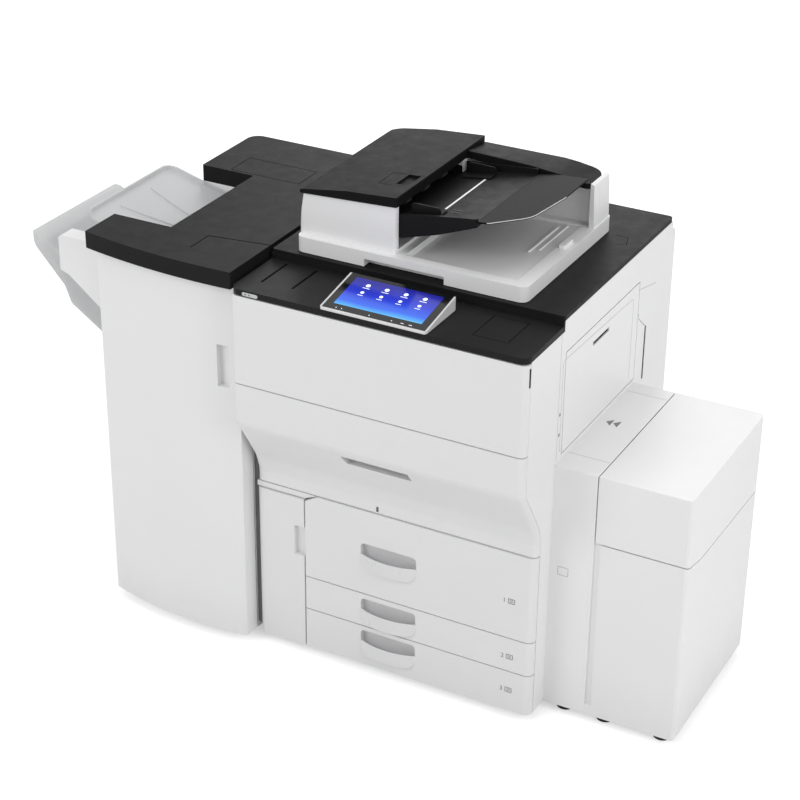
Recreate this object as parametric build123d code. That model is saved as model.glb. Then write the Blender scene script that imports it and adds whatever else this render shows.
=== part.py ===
"""Floor-standing colour photocopier with a document feeder, a finisher on its left
and a large-capacity paper unit on its right.

Working frame while the pieces are drawn, in millimetres: X runs to the right from the main
unit's left side, Y runs back from its front cover, Z runs up from the floor. Each piece is
moved to the part's own frame, whose origin is the centre of the footprint, as it is written.
"""
from build123d import *
import os

# ---------------------------------------------------------------- driving dimensions (mm)
WALL = 3.0              # thickness of the outer covers
REVEAL = 3.0            # visible gap between two neighbouring covers
SEAM = 1.5              # gap between a hinged front cover and the side covers
SLIP = 1.0              # clearance round a piece that slides
SHAFT_SLIP = 0.05       # radial clearance of a shaft in its bearing
FOOT_HEIGHT = 22.0      # underside of the cabinets above the floor
FOOT_R = 22.0
FOOT_STEM_R = 7.0

# main unit
MAIN_W = 750.0
MAIN_D = 850.0
BODY_TOP = 1005.0       # top of the side covers
SEAM_D = 20.0           # depth of the side returns of the front covers
TRAY_FACE_Y = 92.0      # the paper trays' fronts stand back by this much
COVER_STRAIGHT_Z = 680.0    # the front cover is upright above this height
COVER_SPLIT_Z = 775.0   # line between the upper and the lower front cover
TRAY_TOP_Z = 465.0      # line between the lower front cover and the trays
SIDE_DOOR_X = 134.0     # line between the narrow left door and the trays
LEFT_DOOR_TOP = 448.0
COVER_CORNER_R = 15.0
TRAY_SPLITS = (FOOT_HEIGHT, 136.0, 230.0, TRAY_TOP_Z)
PULL_X0, PULL_X1, PULL_Z0, PULL_Z1 = 276.0, 462.0, 622.0, 648.0
PULL_DEPTH = 26.0

# scanner and shelf
SHELF_D = 187.0
SHELF_TOP = 1020.0
SCANNER_Y1 = 829.0
SCANNER_TOP = 1043.0
SCANNER_EDGE = 11.0     # visible thickness of its top at the sides, above the side covers
RISER_T = 5.0           # step between the shelf and the scanner
GLASS_X0, GLASS_X1, GLASS_Y0, GLASS_Y1 = 120.0, 580.0, 250.0, 600.0
GLASS_T = 4.0
CARRIAGE_W = 34.0
CARRIAGE_TRAVEL = 410.0

# paper trays
GRIP_X, GRIP_W, GRIP_H = 366.0, 156.0, 70.0
GRIP_TOPS = (126.0, 218.0, 376.0)
GRIP_LIP = 36.0         # height of the lip inside the grip's outline
GRIP_BULGE = 17.0
TRAY_FRONT_T = 20.0
BOX_X0, BOX_X1, BOX_Y1 = 160.0, 700.0, 700.0
BOX_WALL = 2.0
BOX_GAP = 8.0           # between a tray's box and the next tray's front line
TRAY_TRAVEL = 450.0

# control panel
PANEL_X0, PANEL_X1 = 236.0, 505.0
PANEL_Y0, PANEL_Y1 = -2.0, 148.0
PANEL_Z0, PANEL_FRONT_Z, PANEL_REAR_Z = 1021.0, 1026.5, 1054.0
SCREEN_MARGIN = 4.5
SCREEN_T = 2.0

# document feeder
FEEDER_X0, FEEDER_X1, FEEDER_Y0, FEEDER_Y1 = 55.0, 648.0, 203.0, 683.0
FEEDER_Z0, DECK_Z = 1044.0, 1082.0
FEEDER_R = 20.0
LIFT_X0, LIFT_X1, LIFT_TOP = 237.0, 443.0, 1063.0
TOWER_Y0, TOWER_X1 = 221.0, 309.0
CHEEK_T = 15.0
TOWER_R = 9.0           # upright edges of the tower
TOWER_CREASE_Z, TOWER_LEAN = 1134.0, 4.0    # above the crease the front leans back
TRAY_BAY_Y1 = 557.0     # rear side of the feeder tray's bay
RIDGE_Y0, RIDGE_Y1 = 575.0, 672.0
RIDGE_X1 = 645.0
COLUMN_X0 = 614.0
FEEDER_HINGE_Y, FEEDER_HINGE_Z = 704.0, 1062.0
HINGE_XS = (145.0, 545.0)
HINGE_PIN_R = 5.0
FEED_SHAFT_X, FEED_SHAFT_Z = 285.0, 1181.0
FEED_SHAFT_R, FEED_ROLLER_R = 4.0, 10.0
TRAY_HINGE_X = 505.0
EXTENSION_X1 = 628.0
FENCE_TRAVEL = 90.0

# finisher
FIN_X0, FIN_X1 = -430.0, -14.0
FIN_TOP_X0 = -441.0
FIN_DOOR_HINGE_Y = 100.0
FIN_BACK_Y = 800.0
FIN_TOP_Z0, FIN_TOP_Z1 = 1000.0, 1043.0
BAY_X, BAY_Y0, BAY_Y1 = -277.0, 177.0, 550.0    # open bay between the two arms
UPPER_TRAY_X0, UPPER_TRAY_R = -532.0, 34.0
LIP_T, LIP_H = 4.0, 10.0
SHIFT_SLIP = 4.0
SHIFT_TRAVEL = 480.0
EXIT_ZS = (752.0, 976.0)    # heights of the two paper exits
EXIT_ROLLER_R, EXIT_SHAFT_R = 14.0, 4.0
EXIT_SHAFT_X = BAY_X + EXIT_ROLLER_R + 1.0

# large-capacity paper unit
COUPLING_X1 = MAIN_W + 108.0
UNIT_X1 = COUPLING_X1 + 227.0
UNIT_Y0, UNIT_Y1, UNIT_TOP = 171.0, 636.0, 676.5
CAP_FRONT_Z, CAP_SIDE_Z, CAP_BACK_Z = 503.0, 481.0, 470.0
COLLAR_INSET = 6.0
LIFT_TRAVEL = 480.0

# right-hand paper door of the main unit
SIDE_Y0, SIDE_Y1, SIDE_Z0, SIDE_Z1 = 205.0, 634.0, 687.0, 949.0
SIDE_DOOR_T = 20.0

# inside the main unit
TONER_DECK_Z = 838.0
ENGINE_PLATE_Y = 560.0  # front face of the plate that carries the drums

# hinge lines, each as the two coordinates across its axis
UPPER_HINGE, UPPER_OPEN = (5.5, COVER_SPLIT_Z + 5.5), 75.0
LOWER_HINGE, LOWER_OPEN = (TRAY_FACE_Y + 9.5, TRAY_TOP_Z + 7.0), 64.0
LEFT_HINGE = (10.0, TRAY_FACE_Y + 10.0)
SIDE_HINGE, SIDE_OPEN = (MAIN_W - 6.0, SIDE_Z0 + 8.0), 24.0     # clear of the open paper cap
FIN_HINGE = (FIN_X0 + 7.0, FIN_DOOR_HINGE_Y - 6.0)
CAP_HINGE = (COUPLING_X1 + REVEAL + 5.0, UNIT_TOP - 5.5)
PANEL_HINGE = (0.0, PANEL_Z0 + 0.5)
LID_HINGE = (61.0, 1189.5)
BARREL_R, PIN_R = 4.5, 1.6      # hinge barrels inside the covers, and their pin bores
DOOR_BARREL_R = 5.5


# ---------------------------------------------------------------- drawing helpers
def block(x0, x1, y0, y1, z0, z1):
    """Box between two corners."""
    centre = ((x0 + x1) / 2, (y0 + y1) / 2, (z0 + z1) / 2)
    return Pos(*centre) * Box(x1 - x0, y1 - y0, z1 - z0)


def outline(points, radii=0):
    """Closed flat face through points, with a round at each corner."""
    if isinstance(radii, (int, float)):
        radii = [radii] * len(points)
    return make_face(FilletPolyline(*points, radius=list(radii), close=True))


def plan(points, z0, z1, radii=0):
    """Prism that stands on an outline drawn in plan (x, y)."""
    return Pos(0, 0, z0) * extrude(outline(points, radii), z1 - z0)


def front_prism(points, y0, y1, radii=0):
    """Prism whose outline is drawn from the front (x, z) and runs back from y0 to y1."""
    face = Rot(90, 0, 0) * outline(points, radii)
    return Pos(0, y0, 0) * extrude(face, y1 - y0, dir=(0, 1, 0))


def side_prism(points, x0, x1, radii=0):
    """Prism whose outline is drawn from the side (y, z) and runs from x0 to x1."""
    face = Plane.YZ * outline(points, radii)
    return Pos(x0, 0, 0) * extrude(face, x1 - x0, dir=(1, 0, 0))


def upright(x, y, z0, z1, radius):
    """Vertical cylinder."""
    return Pos(x, y, (z0 + z1) / 2) * Cylinder(radius, z1 - z0)


def shaft_y(x, z, y0, y1, radius):
    """Cylinder that lies along Y."""
    return Pos(x, (y0 + y1) / 2, z) * Rot(90, 0, 0) * Cylinder(radius, y1 - y0)


def shaft_x(y, z, x0, x1, radius):
    """Cylinder that lies along X."""
    return Pos((x0 + x1) / 2, y, z) * Rot(0, 90, 0) * Cylinder(radius, x1 - x0)


def barrels_x(part, axis, spans, radius=BARREL_R):
    """The part with hinge barrels along X, bored for their pins."""
    for x0, x1 in spans:
        part += shaft_x(*axis, x0, x1, radius)
        part -= shaft_x(*axis, x0 - 1, x1 + 1, PIN_R)
    return part


def barrels_y(part, axis, spans, radius=BARREL_R):
    """The part with hinge barrels along Y, bored for their pins."""
    for y0, y1 in spans:
        part += shaft_y(*axis, y0, y1, radius)
        part -= shaft_y(*axis, y0 - 1, y1 + 1, PIN_R)
    return part


def barrels_z(part, axis, spans, radius=BARREL_R):
    """The part with upright hinge barrels, bored for their pins."""
    for z0, z1 in spans:
        part += upright(*axis, z0, z1, radius)
        part -= upright(*axis, z0 - 1, z1 + 1, PIN_R)
    return part


def group(solids):
    """Several separate solids kept in one node."""
    return Compound(list(solids))


def rect(x0, x1, y0, y1):
    return [(x0, y0), (x1, y0), (x1, y1), (x0, y1)]


# ---------------------------------------------------------------- main unit: front covers
def front_curve_face(offset, z_low, z_high, y_back):
    """Side view (y, z) of the space behind the front cover's curve, moved back by offset.

    The cover is upright down to COVER_STRAIGHT_Z and then sweeps back in an S to the trays.
    """
    sweep = TRAY_FACE_Y + 4.0
    top = COVER_STRAIGHT_Z
    low = TRAY_TOP_Z + 15.0
    bend = [(0.0, 0.0), (0.085, -24.0), (0.24, -46.0), (0.47, -80.0), (0.67, -111.0),
            (0.87, -145.0), (0.975, -175.0), (1.0, low - top)]
    points = [(offset + share * sweep, top + drop) for share, drop in bend]
    curve = Spline(*points, tangents=[(0, -1), (0, -1)])
    edges = [Line((offset, z_high), (offset, top))] if z_high > top else []
    edges += [curve, Line(points[-1], (offset + sweep, z_low)),
              Line((offset + sweep, z_low), (y_back, z_low)),
              Line((y_back, z_low), (y_back, z_high)),
              Line((y_back, z_high), (offset, z_high))]
    return make_face(edges)


def behind_curve(offset, z_low, z_high, y_back, x0, x1):
    """Solid of everything behind the front cover's curve."""
    face = Plane.YZ * front_curve_face(offset, z_low, z_high, y_back)
    return Pos(x0, 0, 0) * extrude(face, x1 - x0, dir=(1, 0, 0))


def rounded_front(offset, y_back, x0, x1, radius):
    """The same solid over the cover's whole height, with its two front corners rounded."""
    low = TRAY_TOP_Z - 30.0
    solid = behind_curve(offset, low, BODY_TOP, y_back, x0, x1)
    corners = []
    for edge in solid.edges():
        box = edge.bounding_box()
        upright_edge = box.size.X < 0.01 and box.size.Z > 5
        if upright_edge and box.max.Y < y_back - 1:
            corners.append(edge)
    return fillet(corners, radius)


def front_shell(z0, z1):
    """Front cover between two heights: a curved skin with shallow side, top and bottom returns."""
    deep = 200.0
    low = TRAY_TOP_Z - 31.0
    outer = rounded_front(0, deep, 0, MAIN_W, COVER_CORNER_R)
    outer -= behind_curve(SEAM_D, low, BODY_TOP + 1, deep + 1, -1, MAIN_W + 1)
    skin = outer & block(-1, MAIN_W + 1, -1, deep, z0, z1)
    hollow = rounded_front(WALL + 1, deep + 1, WALL, MAIN_W - WALL, COVER_CORNER_R - WALL)
    return skin - (hollow & block(-1, MAIN_W + 1, -1, deep + 1, z0 + WALL, z1 - WALL))


def upper_front_cover():
    """Upright toner cover, hinged along its lower edge."""
    shell = front_shell(COVER_SPLIT_Z + REVEAL / 2, BODY_TOP - REVEAL)
    return barrels_x(shell, UPPER_HINGE, [(60, 90), (MAIN_W - 90, MAIN_W - 60)], BARREL_R - 0.5)


def lower_front_cover():
    """Curved engine cover with a pull slot and a tab at its lower left."""
    shell = front_shell(TRAY_TOP_Z + REVEAL / 2, COVER_SPLIT_Z - REVEAL / 2)
    y_slot = 36.0
    pocket = block(PULL_X0, PULL_X1, 10, y_slot + PULL_DEPTH, PULL_Z0 - WALL, PULL_Z1 + WALL)
    pocket &= behind_curve(WALL, TRAY_TOP_Z, BODY_TOP, 150, 0, MAIN_W)
    slot = front_prism([(PULL_X0 + WALL, PULL_Z1), (PULL_X1 - 2 * WALL, PULL_Z1),
                        (PULL_X1 - WALL, PULL_Z0), (PULL_X0 + 4 * WALL, PULL_Z0)],
                       -5, y_slot + PULL_DEPTH - WALL, 2)
    shell = shell + pocket - slot
    return barrels_x(shell, LOWER_HINGE, [(60, 90), (MAIN_W - 90, MAIN_W - 60)], BARREL_R - 0.5)


def pull_slot_space():
    """Free space in the pull slot, as (low corner, high corner)."""
    return ((PULL_X0 + 5 * WALL, 26.0, PULL_Z0 + 2), (PULL_X1 - 4 * WALL, 56.0, PULL_Z1 - 2))


def corner_tab():
    """Fixed strip above the narrow left door, with a slanted right end."""
    y0 = TRAY_FACE_Y + 4.0
    z0, z1 = LEFT_DOOR_TOP + REVEAL / 2, TRAY_TOP_Z - REVEAL / 2
    return front_prism([(0, z0), (SIDE_DOOR_X, z0), (SIDE_DOOR_X + 34, z1), (0, z1)],
                       y0, TRAY_FACE_Y + TRAY_FRONT_T + REVEAL)


# ---------------------------------------------------------------- main unit: body
def side_cover(x0):
    """Side cover, whose front edge follows the front covers at the depth of their returns."""
    upper = behind_curve(SEAM_D + SEAM, TRAY_TOP_Z, BODY_TOP, MAIN_D - WALL, x0, x0 + WALL)
    lower = block(x0, x0 + WALL, TRAY_FACE_Y + TRAY_FRONT_T + REVEAL, MAIN_D - WALL,
                  FOOT_HEIGHT, TRAY_TOP_Z)
    scanner_y0 = SHELF_D + RISER_T + SEAM
    beside_scanner = block(x0, x0 + WALL, scanner_y0, SCANNER_Y1, BODY_TOP - 1,
                           SCANNER_TOP - SCANNER_EDGE - 1)
    return upper + lower + beside_scanner


def left_cover():
    return side_cover(0)


def right_cover():
    """Right cover with the paper door's opening and the exhaust slot."""
    cover = side_cover(MAIN_W - WALL)
    cover -= block(MAIN_W - 2 * WALL, MAIN_W + 1, SIDE_Y0, SIDE_Y1, SIDE_Z0, SIDE_Z1)
    cover -= block(MAIN_W - 2 * WALL, MAIN_W + 1, 684, 694, 662, 808)
    return cover


def rear_cover():
    """Rear cover with rows of vent slots and the cut-out of the power inlet."""
    cover = block(0, MAIN_W, MAIN_D - WALL, MAIN_D, FOOT_HEIGHT, BODY_TOP)
    for column in range(2):
        for row in range(10):
            x = 90.0 + 330.0 * column
            z = 640.0 + 18.0 * row
            cover -= block(x, x + 240, MAIN_D - 2 * WALL, MAIN_D + 1, z, z + 8)
    (x0, _, z0), (x1, _, z1) = inlet_box()
    cover -= block(x0, x1, MAIN_D - 2 * WALL, MAIN_D + 1, z0, z1)
    return cover


def inlet_box():
    return (596.0, MAIN_D - 26.0, 108.0), (654.0, MAIN_D, 140.0)


def power_inlet():
    """Appliance inlet: a recessed shell with three contact blades."""
    (x0, y0, z0), (x1, y1, z1) = inlet_box()
    body = block(x0, x1, y0, y1, z0, z1)
    body -= block(x0 + 5, x1 - 5, y0 + 5, y1 + 1, z0 + 5, z1 - 5)
    middle = (x0 + x1) / 2
    for dx, dz in ((-12, 16), (0, 12), (12, 16)):
        body += block(middle + dx - 1, middle + dx + 1, y0 + 4, y1 - 6, z0 + dz - 2, z0 + dz + 2)
    return body


def main_frame():
    """Steel chassis: base pan, corner posts, mid deck, engine plates, top deck and divider."""
    x0, x1 = WALL, MAIN_W - WALL
    y1 = MAIN_D - WALL
    post = 30.0
    base_top = FOOT_HEIGHT + 16.0
    deck_z = TRAY_TOP_Z - BOX_GAP / 2
    frame = block(x0, x1, 140, y1, FOOT_HEIGHT + WALL, base_top)
    for x in (x0, x1 - post):
        for y in (140.0, y1 - post):
            frame += block(x, x + post, y, y + post, base_top - 1, BODY_TOP)
    frame += block(x0, x1, 140, y1, deck_z, deck_z + 8)
    frame += block(x0, x1, 140, y1, BODY_TOP - 12, BODY_TOP)
    frame += block(x0, x1, ENGINE_PLATE_Y, ENGINE_PLATE_Y + 3, deck_z, BODY_TOP)
    frame += block(SIDE_DOOR_X + 4, SIDE_DOOR_X + 7, 140, y1, base_top - 1, deck_z + 1)
    frame += block(x0, x1, BOX_Y1 + 20, BOX_Y1 + 23, base_top - 1, deck_z + 1)
    frame += block(x0, x1, 60, ENGINE_PLATE_Y + 1, TONER_DECK_Z - 4, TONER_DECK_Z)
    for z in TRAY_SPLITS[1:3]:
        frame += block(BOX_X1 + SLIP, x1, 140, BOX_Y1 + 21, z + 1, z + 4)
    frame -= block(x1 - SIDE_DOOR_T, x1 + 1, SIDE_Y0 - 2, SIDE_Y1 + 2, SIDE_Z0 - 2, SIDE_Z1 + 2)
    return frame


def toner_bottles():
    """Four bottles that lie side by side on the toner deck, each on a flat keel."""
    deck = TONER_DECK_Z
    bottles = []
    for index in range(4):
        x = 135.0 + 160.0 * index
        bottle = shaft_y(x, deck + 46, 80, 500, 38)
        bottle += shaft_y(x, deck + 46, 60, 81, 22)
        bottle += block(x - 18, x + 18, 90, 490, deck, deck + 20)
        bottles.append(bottle)
    return group(bottles)


def drum_units():
    """Four drum units behind the front cover: a drum roller in a narrow housing."""
    units = []
    for index in range(4):
        x = 160.0 + 130.0 * index
        unit = block(x - 40, x + 40, 130, ENGINE_PLATE_Y, 665, 740)
        unit += shaft_y(x, 662, 140, ENGINE_PLATE_Y - 10, 22)
        units.append(unit)
    return group(units)


def transfer_belt_unit():
    """Transfer belt unit: a flat loop round two rollers, below the drums."""
    loop = front_prism(rect(110, 610, 570, 630), 140, ENGINE_PLATE_Y, 29)
    core = front_prism(rect(112, 608, 572, 628), 139, ENGINE_PLATE_Y + 1, 27)
    belt = loop - core
    rollers = [shaft_y(x, 600, 135, ENGINE_PLATE_Y, 28) for x in (140, 580)]
    return belt + rollers[0] + rollers[1]


def fuser_unit():
    """Fuser: hot and pressure rollers in a channel."""
    y1 = ENGINE_PLATE_Y
    unit = block(640, 712, 150, y1, 770, 832)
    unit -= block(646, 706, 160, y1 - 10, 776, 833)
    for x in (661, 690):
        unit += shaft_y(x, 806, 155, y1 - 5, 14)
    return unit


def feet(places, top=FOOT_HEIGHT):
    """Levelling feet: a pad on a threaded stem at each place, up to the underside at top."""
    solids = []
    for x, y in places:
        foot = upright(x, y, 0, 8, FOOT_R) + upright(x, y, 7, top, FOOT_STEM_R)
        solids.append(foot)
    return group(solids)


def main_feet():
    x0, x1 = 60.0, MAIN_W - 60.0
    y0, y1 = 190.0, MAIN_D - 60.0
    return feet([(x0, y0), (x1, y0), (x0, y1), (x1, y1)], FOOT_HEIGHT + WALL)


# ---------------------------------------------------------------- shelf and scanner
def shelf_cover():
    """Front shelf with a drooping lip, two short grooves and a square outline."""
    shelf = plan(rect(0, MAIN_W, 0, SHELF_D), BODY_TOP, SHELF_TOP, [22, 22, 0, 0])
    groove = 2.0
    for x, y0 in ((49.0, 58.0), (129.0, 61.0)):
        shelf -= block(x - 2, x + 2, y0, SHELF_D - 14, SHELF_TOP - groove, SHELF_TOP + 1)
    ring = block(591, 678, 51, 163, SHELF_TOP - groove, SHELF_TOP + 1)
    ring -= block(593, 676, 53, 161, SHELF_TOP - groove - 1, SHELF_TOP + 2)
    return shelf - ring


def scanner_housing():
    """Scanner housing: a hollow deck with a rebated opening for the platen glass."""
    y0 = SHELF_D + 2.0
    edge_z = SCANNER_TOP - SCANNER_EDGE
    housing = plan(rect(0, MAIN_W, y0, SCANNER_Y1), edge_z, SCANNER_TOP, [6, 6, 12, 12])
    housing += block(WALL + 0.5, MAIN_W - WALL - 0.5, y0, SCANNER_Y1 - WALL, BODY_TOP, edge_z + 1)
    housing += block(0, MAIN_W, SHELF_D, SHELF_D + RISER_T, BODY_TOP, edge_z + 1)
    rebate = 10.0
    top_t = 8.0
    housing -= block(GLASS_X0 - 50, GLASS_X1 + 60, GLASS_Y0 - 20, GLASS_Y1 + 20,
                     BODY_TOP + 4, SCANNER_TOP - top_t)
    housing -= block(GLASS_X0, GLASS_X1, GLASS_Y0, GLASS_Y1, SCANNER_TOP - GLASS_T, SCANNER_TOP + 1)
    housing -= block(GLASS_X0 + rebate, GLASS_X1 - rebate, GLASS_Y0 + rebate, GLASS_Y1 - rebate,
                     SCANNER_TOP - top_t - 1, SCANNER_TOP + 1)
    return housing


def platen_glass():
    return block(GLASS_X0, GLASS_X1, GLASS_Y0, GLASS_Y1, SCANNER_TOP - GLASS_T, SCANNER_TOP)


def scan_carriage():
    """Lamp carriage that sweeps under the glass."""
    x0 = GLASS_X0 - 30.0
    y0, y1 = GLASS_Y0 - 15, GLASS_Y1 + 15
    bar = block(x0, x0 + CARRIAGE_W, y0, y1, BODY_TOP + 5, SCANNER_TOP - 12)
    return bar - block(x0 + 8, x0 + CARRIAGE_W - 8, y0 + 10, y1 - 10, SCANNER_TOP - 17, SCANNER_TOP)


# ---------------------------------------------------------------- paper trays and doors
def grip_outline(top, inset):
    """Corner points and rounds of a grip's opening, seen from the front."""
    x0, x1 = GRIP_X - GRIP_W / 2 + inset, GRIP_X + GRIP_W / 2 - inset
    z0, z1 = top - GRIP_H + inset, top - inset
    return rect(x0, x1, z0, z1), [30 - inset, 30 - inset, 12 - inset / 2, 12 - inset / 2]


def tray_front(index):
    """Front of one paper tray, with side returns and the hole for its grip."""
    z0 = TRAY_SPLITS[index] + REVEAL / 2
    z1 = TRAY_SPLITS[index + 1] - REVEAL / 2
    x0, x1 = SIDE_DOOR_X + REVEAL / 2, MAIN_W
    y0, y1 = TRAY_FACE_Y, TRAY_FACE_Y + TRAY_FRONT_T
    front = plan(rect(x0, x1, y0, y1), z0, z1, [2, 19, 0, 0])
    if index == 2:
        front &= front_prism([(x0, z0), (x1, z0), (x1, z1), (x0 + 35, z1), (x0, z1 - 20)],
                             y0 - 1, y1 + 1)
    pocket_x1 = x1 - COVER_CORNER_R - WALL
    front -= block(x0 + WALL, GRIP_X - GRIP_W / 2 - WALL, y0 + WALL + 1, y1 + 1, z0 + WALL, z1 - 26)
    front -= block(GRIP_X + GRIP_W / 2 + WALL, pocket_x1, y0 + WALL + 1, y1 + 1,
                   z0 + WALL, z1 - WALL)
    points, rounds = grip_outline(GRIP_TOPS[index], 0)
    return front - front_prism(points, y0 - 1, y1 + 1, rounds)


def tray_grip(index):
    """Scoop grip: a lined pocket with a lip that bulges out over its lower half."""
    top = GRIP_TOPS[index]
    y0, y1 = TRAY_FACE_Y, TRAY_FACE_Y + TRAY_FRONT_T
    z0, z1 = top - GRIP_H, top - GRIP_H + GRIP_LIP
    x0, x1 = GRIP_X - GRIP_W / 2, GRIP_X + GRIP_W / 2
    bow_r = (GRIP_W ** 2 / 4 + GRIP_BULGE ** 2) / (2 * GRIP_BULGE)
    bow_y = y0 - GRIP_BULGE + bow_r
    skin = 3.0
    points, rounds = grip_outline(top, 0)
    inner, inner_rounds = grip_outline(top, skin)
    outer_limit = upright(GRIP_X, bow_y, z0 - 1, z1, bow_r)
    outer_limit += block(x0 - 1, x1 + 1, y0, y1 + 1, z1 - 1, top + 1)
    inner_limit = upright(GRIP_X, bow_y, z0 - 1, z1 + 1, bow_r - skin)
    inner_limit += block(x0 - 1, x1 + 1, y0 - 1, y1 + 1, z1, top + 1)
    body = front_prism(points, y0 - GRIP_BULGE - 1, y1, rounds) & outer_limit
    return body - (front_prism(inner, y0 - GRIP_BULGE - 2, y1 - skin, inner_rounds) & inner_limit)


def grip_space(index):
    """Free space for the fingers above the lip, as (low corner, high corner)."""
    top = GRIP_TOPS[index]
    low = (GRIP_X - GRIP_W / 2 + 16, TRAY_FACE_Y - 10, top - GRIP_H + GRIP_LIP + 1)
    high = (GRIP_X + GRIP_W / 2 - 16, TRAY_FACE_Y + TRAY_FRONT_T - 4, top - 8)
    return low, high


def box_heights(index):
    """Bottom and top of one tray's box."""
    bottom = max(TRAY_SPLITS[index] + BOX_GAP, FOOT_HEIGHT + 18.0)
    return bottom, TRAY_SPLITS[index + 1] - BOX_GAP


def tray_box(index):
    """Open-topped paper box behind the tray's front."""
    z0, z1 = box_heights(index)
    y0 = TRAY_FACE_Y + TRAY_FRONT_T
    box = block(BOX_X0, BOX_X1, y0, BOX_Y1, z0, z1)
    return box - block(BOX_X0 + BOX_WALL, BOX_X1 - BOX_WALL, y0 + BOX_WALL, BOX_Y1 - BOX_WALL,
                       z0 + BOX_WALL, z1 + 1)


def lift_plate(index):
    """Bottom plate under the paper, hinged near the box's left wall."""
    z0, _ = box_heights(index)
    x0, x1 = BOX_X0 + BOX_WALL + 4, BOX_X1 - BOX_WALL - 6
    y0, y1 = TRAY_FACE_Y + TRAY_FRONT_T + BOX_WALL + 4, BOX_Y1 - BOX_WALL - 4
    z = z0 + BOX_WALL + 2
    plate = block(x0, x1, y0, y1, z, z + 1.5)
    plate -= block(x1 - 150, x1 - 90, (y0 + y1) / 2 - 60, (y0 + y1) / 2 + 60, z - 1, z + 3)
    axis_x, _, axis_z = lift_axis(index)
    return plate + shaft_y(axis_x, axis_z, y0 + 20, y1 - 20, 2)


def lift_axis(index):
    """Point on the hinge line of a lift plate, the middle of its rolled edge."""
    z0, _ = box_heights(index)
    return BOX_X0 + BOX_WALL + 6, (TRAY_FACE_Y + BOX_Y1) / 2, z0 + BOX_WALL + 3


def left_front_door():
    """Narrow door beside the trays, with a grip notch in its free edge."""
    x1 = SIDE_DOOR_X - REVEAL / 2
    z0, z1 = FOOT_HEIGHT + REVEAL / 2, LEFT_DOOR_TOP - REVEAL / 2
    y0, y1 = TRAY_FACE_Y, TRAY_FACE_Y + TRAY_FRONT_T
    door = plan(rect(0, x1, y0, y1), z0, z1, [COVER_CORNER_R, 2, 0, 0])
    hollow = plan(rect(WALL, x1 - 34, y0 + WALL, y1 + 1), z0 + WALL, z1 - WALL,
                  [COVER_CORNER_R - WALL, 0, 0, 0])
    door -= hollow
    door -= block(x1 - 27, x1 + 1, y0 - 1, y0 + 12, 286, 368)
    return barrels_z(door, LEFT_HINGE, [(45, 75), (395, 425)], DOOR_BARREL_R)


def right_side_door():
    """Paper-path door on the right, hinged along its lower edge, with a sloped hand slot."""
    y0, y1 = SIDE_Y0 + REVEAL, SIDE_Y1 - REVEAL
    z0, z1 = SIDE_Z0 + REVEAL, SIDE_Z1 - REVEAL
    x0 = MAIN_W - SIDE_DOOR_T + 1
    door = block(x0, MAIN_W, y0, y1, z0, z1)
    door -= block(x0 - 1, MAIN_W - WALL, y0 + WALL, y1 - WALL, z0 + WALL, z1 - WALL)
    door += block(x0 + 2, MAIN_W - 1, 357, 457, 880, 918)
    door -= block(MAIN_W - 14, MAIN_W + 1, 361, 453, 896, 906)
    return barrels_y(door, SIDE_HINGE, [(y0 + 20, y0 + 50), (y1 - 50, y1 - 20)])


# ---------------------------------------------------------------- control panel
def panel_top(y):
    """Height of the panel's sloping face at depth y."""
    return PANEL_FRONT_Z + (PANEL_REAR_Z - PANEL_FRONT_Z) * (y - PANEL_Y0) / (PANEL_Y1 - PANEL_Y0)


def panel_slice(x0, x1, y0, y1, depth):
    """Layer of the panel just below its sloping face."""
    return side_prism([(y0, panel_top(y0) - depth), (y1, panel_top(y1) - depth),
                       (y1, panel_top(y1)), (y0, panel_top(y0))], x0, x1)


def control_panel():
    """Wedge-shaped panel case with a recess for the screen and a hollow underside."""
    side = [(PANEL_Y0, PANEL_Z0), (PANEL_Y1, PANEL_Z0), (PANEL_Y1, PANEL_REAR_Z),
            (PANEL_Y0, PANEL_FRONT_Z)]
    case = side_prism(side, PANEL_X0, PANEL_X1, [1, 3, 6, 1.5])
    case &= plan(rect(PANEL_X0, PANEL_X1, PANEL_Y0, PANEL_Y1), PANEL_Z0 - 1, PANEL_REAR_Z + 1, 9)
    case -= panel_slice(PANEL_X0 + SCREEN_MARGIN, PANEL_X1 - SCREEN_MARGIN,
                        PANEL_Y0 + SCREEN_MARGIN, PANEL_Y1 - SCREEN_MARGIN, SCREEN_T)
    under = [(40, PANEL_Z0 - 1), (PANEL_Y1 - 4, PANEL_Z0 - 1), (PANEL_Y1 - 4, panel_top(PANEL_Y1) - 8),
             (40, panel_top(40) - 6)]
    return case - side_prism(under, PANEL_X0 + 4, PANEL_X1 - 4)


def touch_screen():
    return panel_slice(PANEL_X0 + SCREEN_MARGIN, PANEL_X1 - SCREEN_MARGIN,
                       PANEL_Y0 + SCREEN_MARGIN, PANEL_Y1 - SCREEN_MARGIN, SCREEN_T)


def panel_mount():
    """Low seat on the shelf that the panel tilts on."""
    seat = block(PANEL_X0 + 50, PANEL_X1 - 50, 48, PANEL_Y1 - 14, SHELF_TOP, SHELF_TOP + 5)
    return seat + block(PANEL_X0 + 90, PANEL_X1 - 90, 90, 122, SHELF_TOP + 4, SHELF_TOP + 14)


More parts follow.
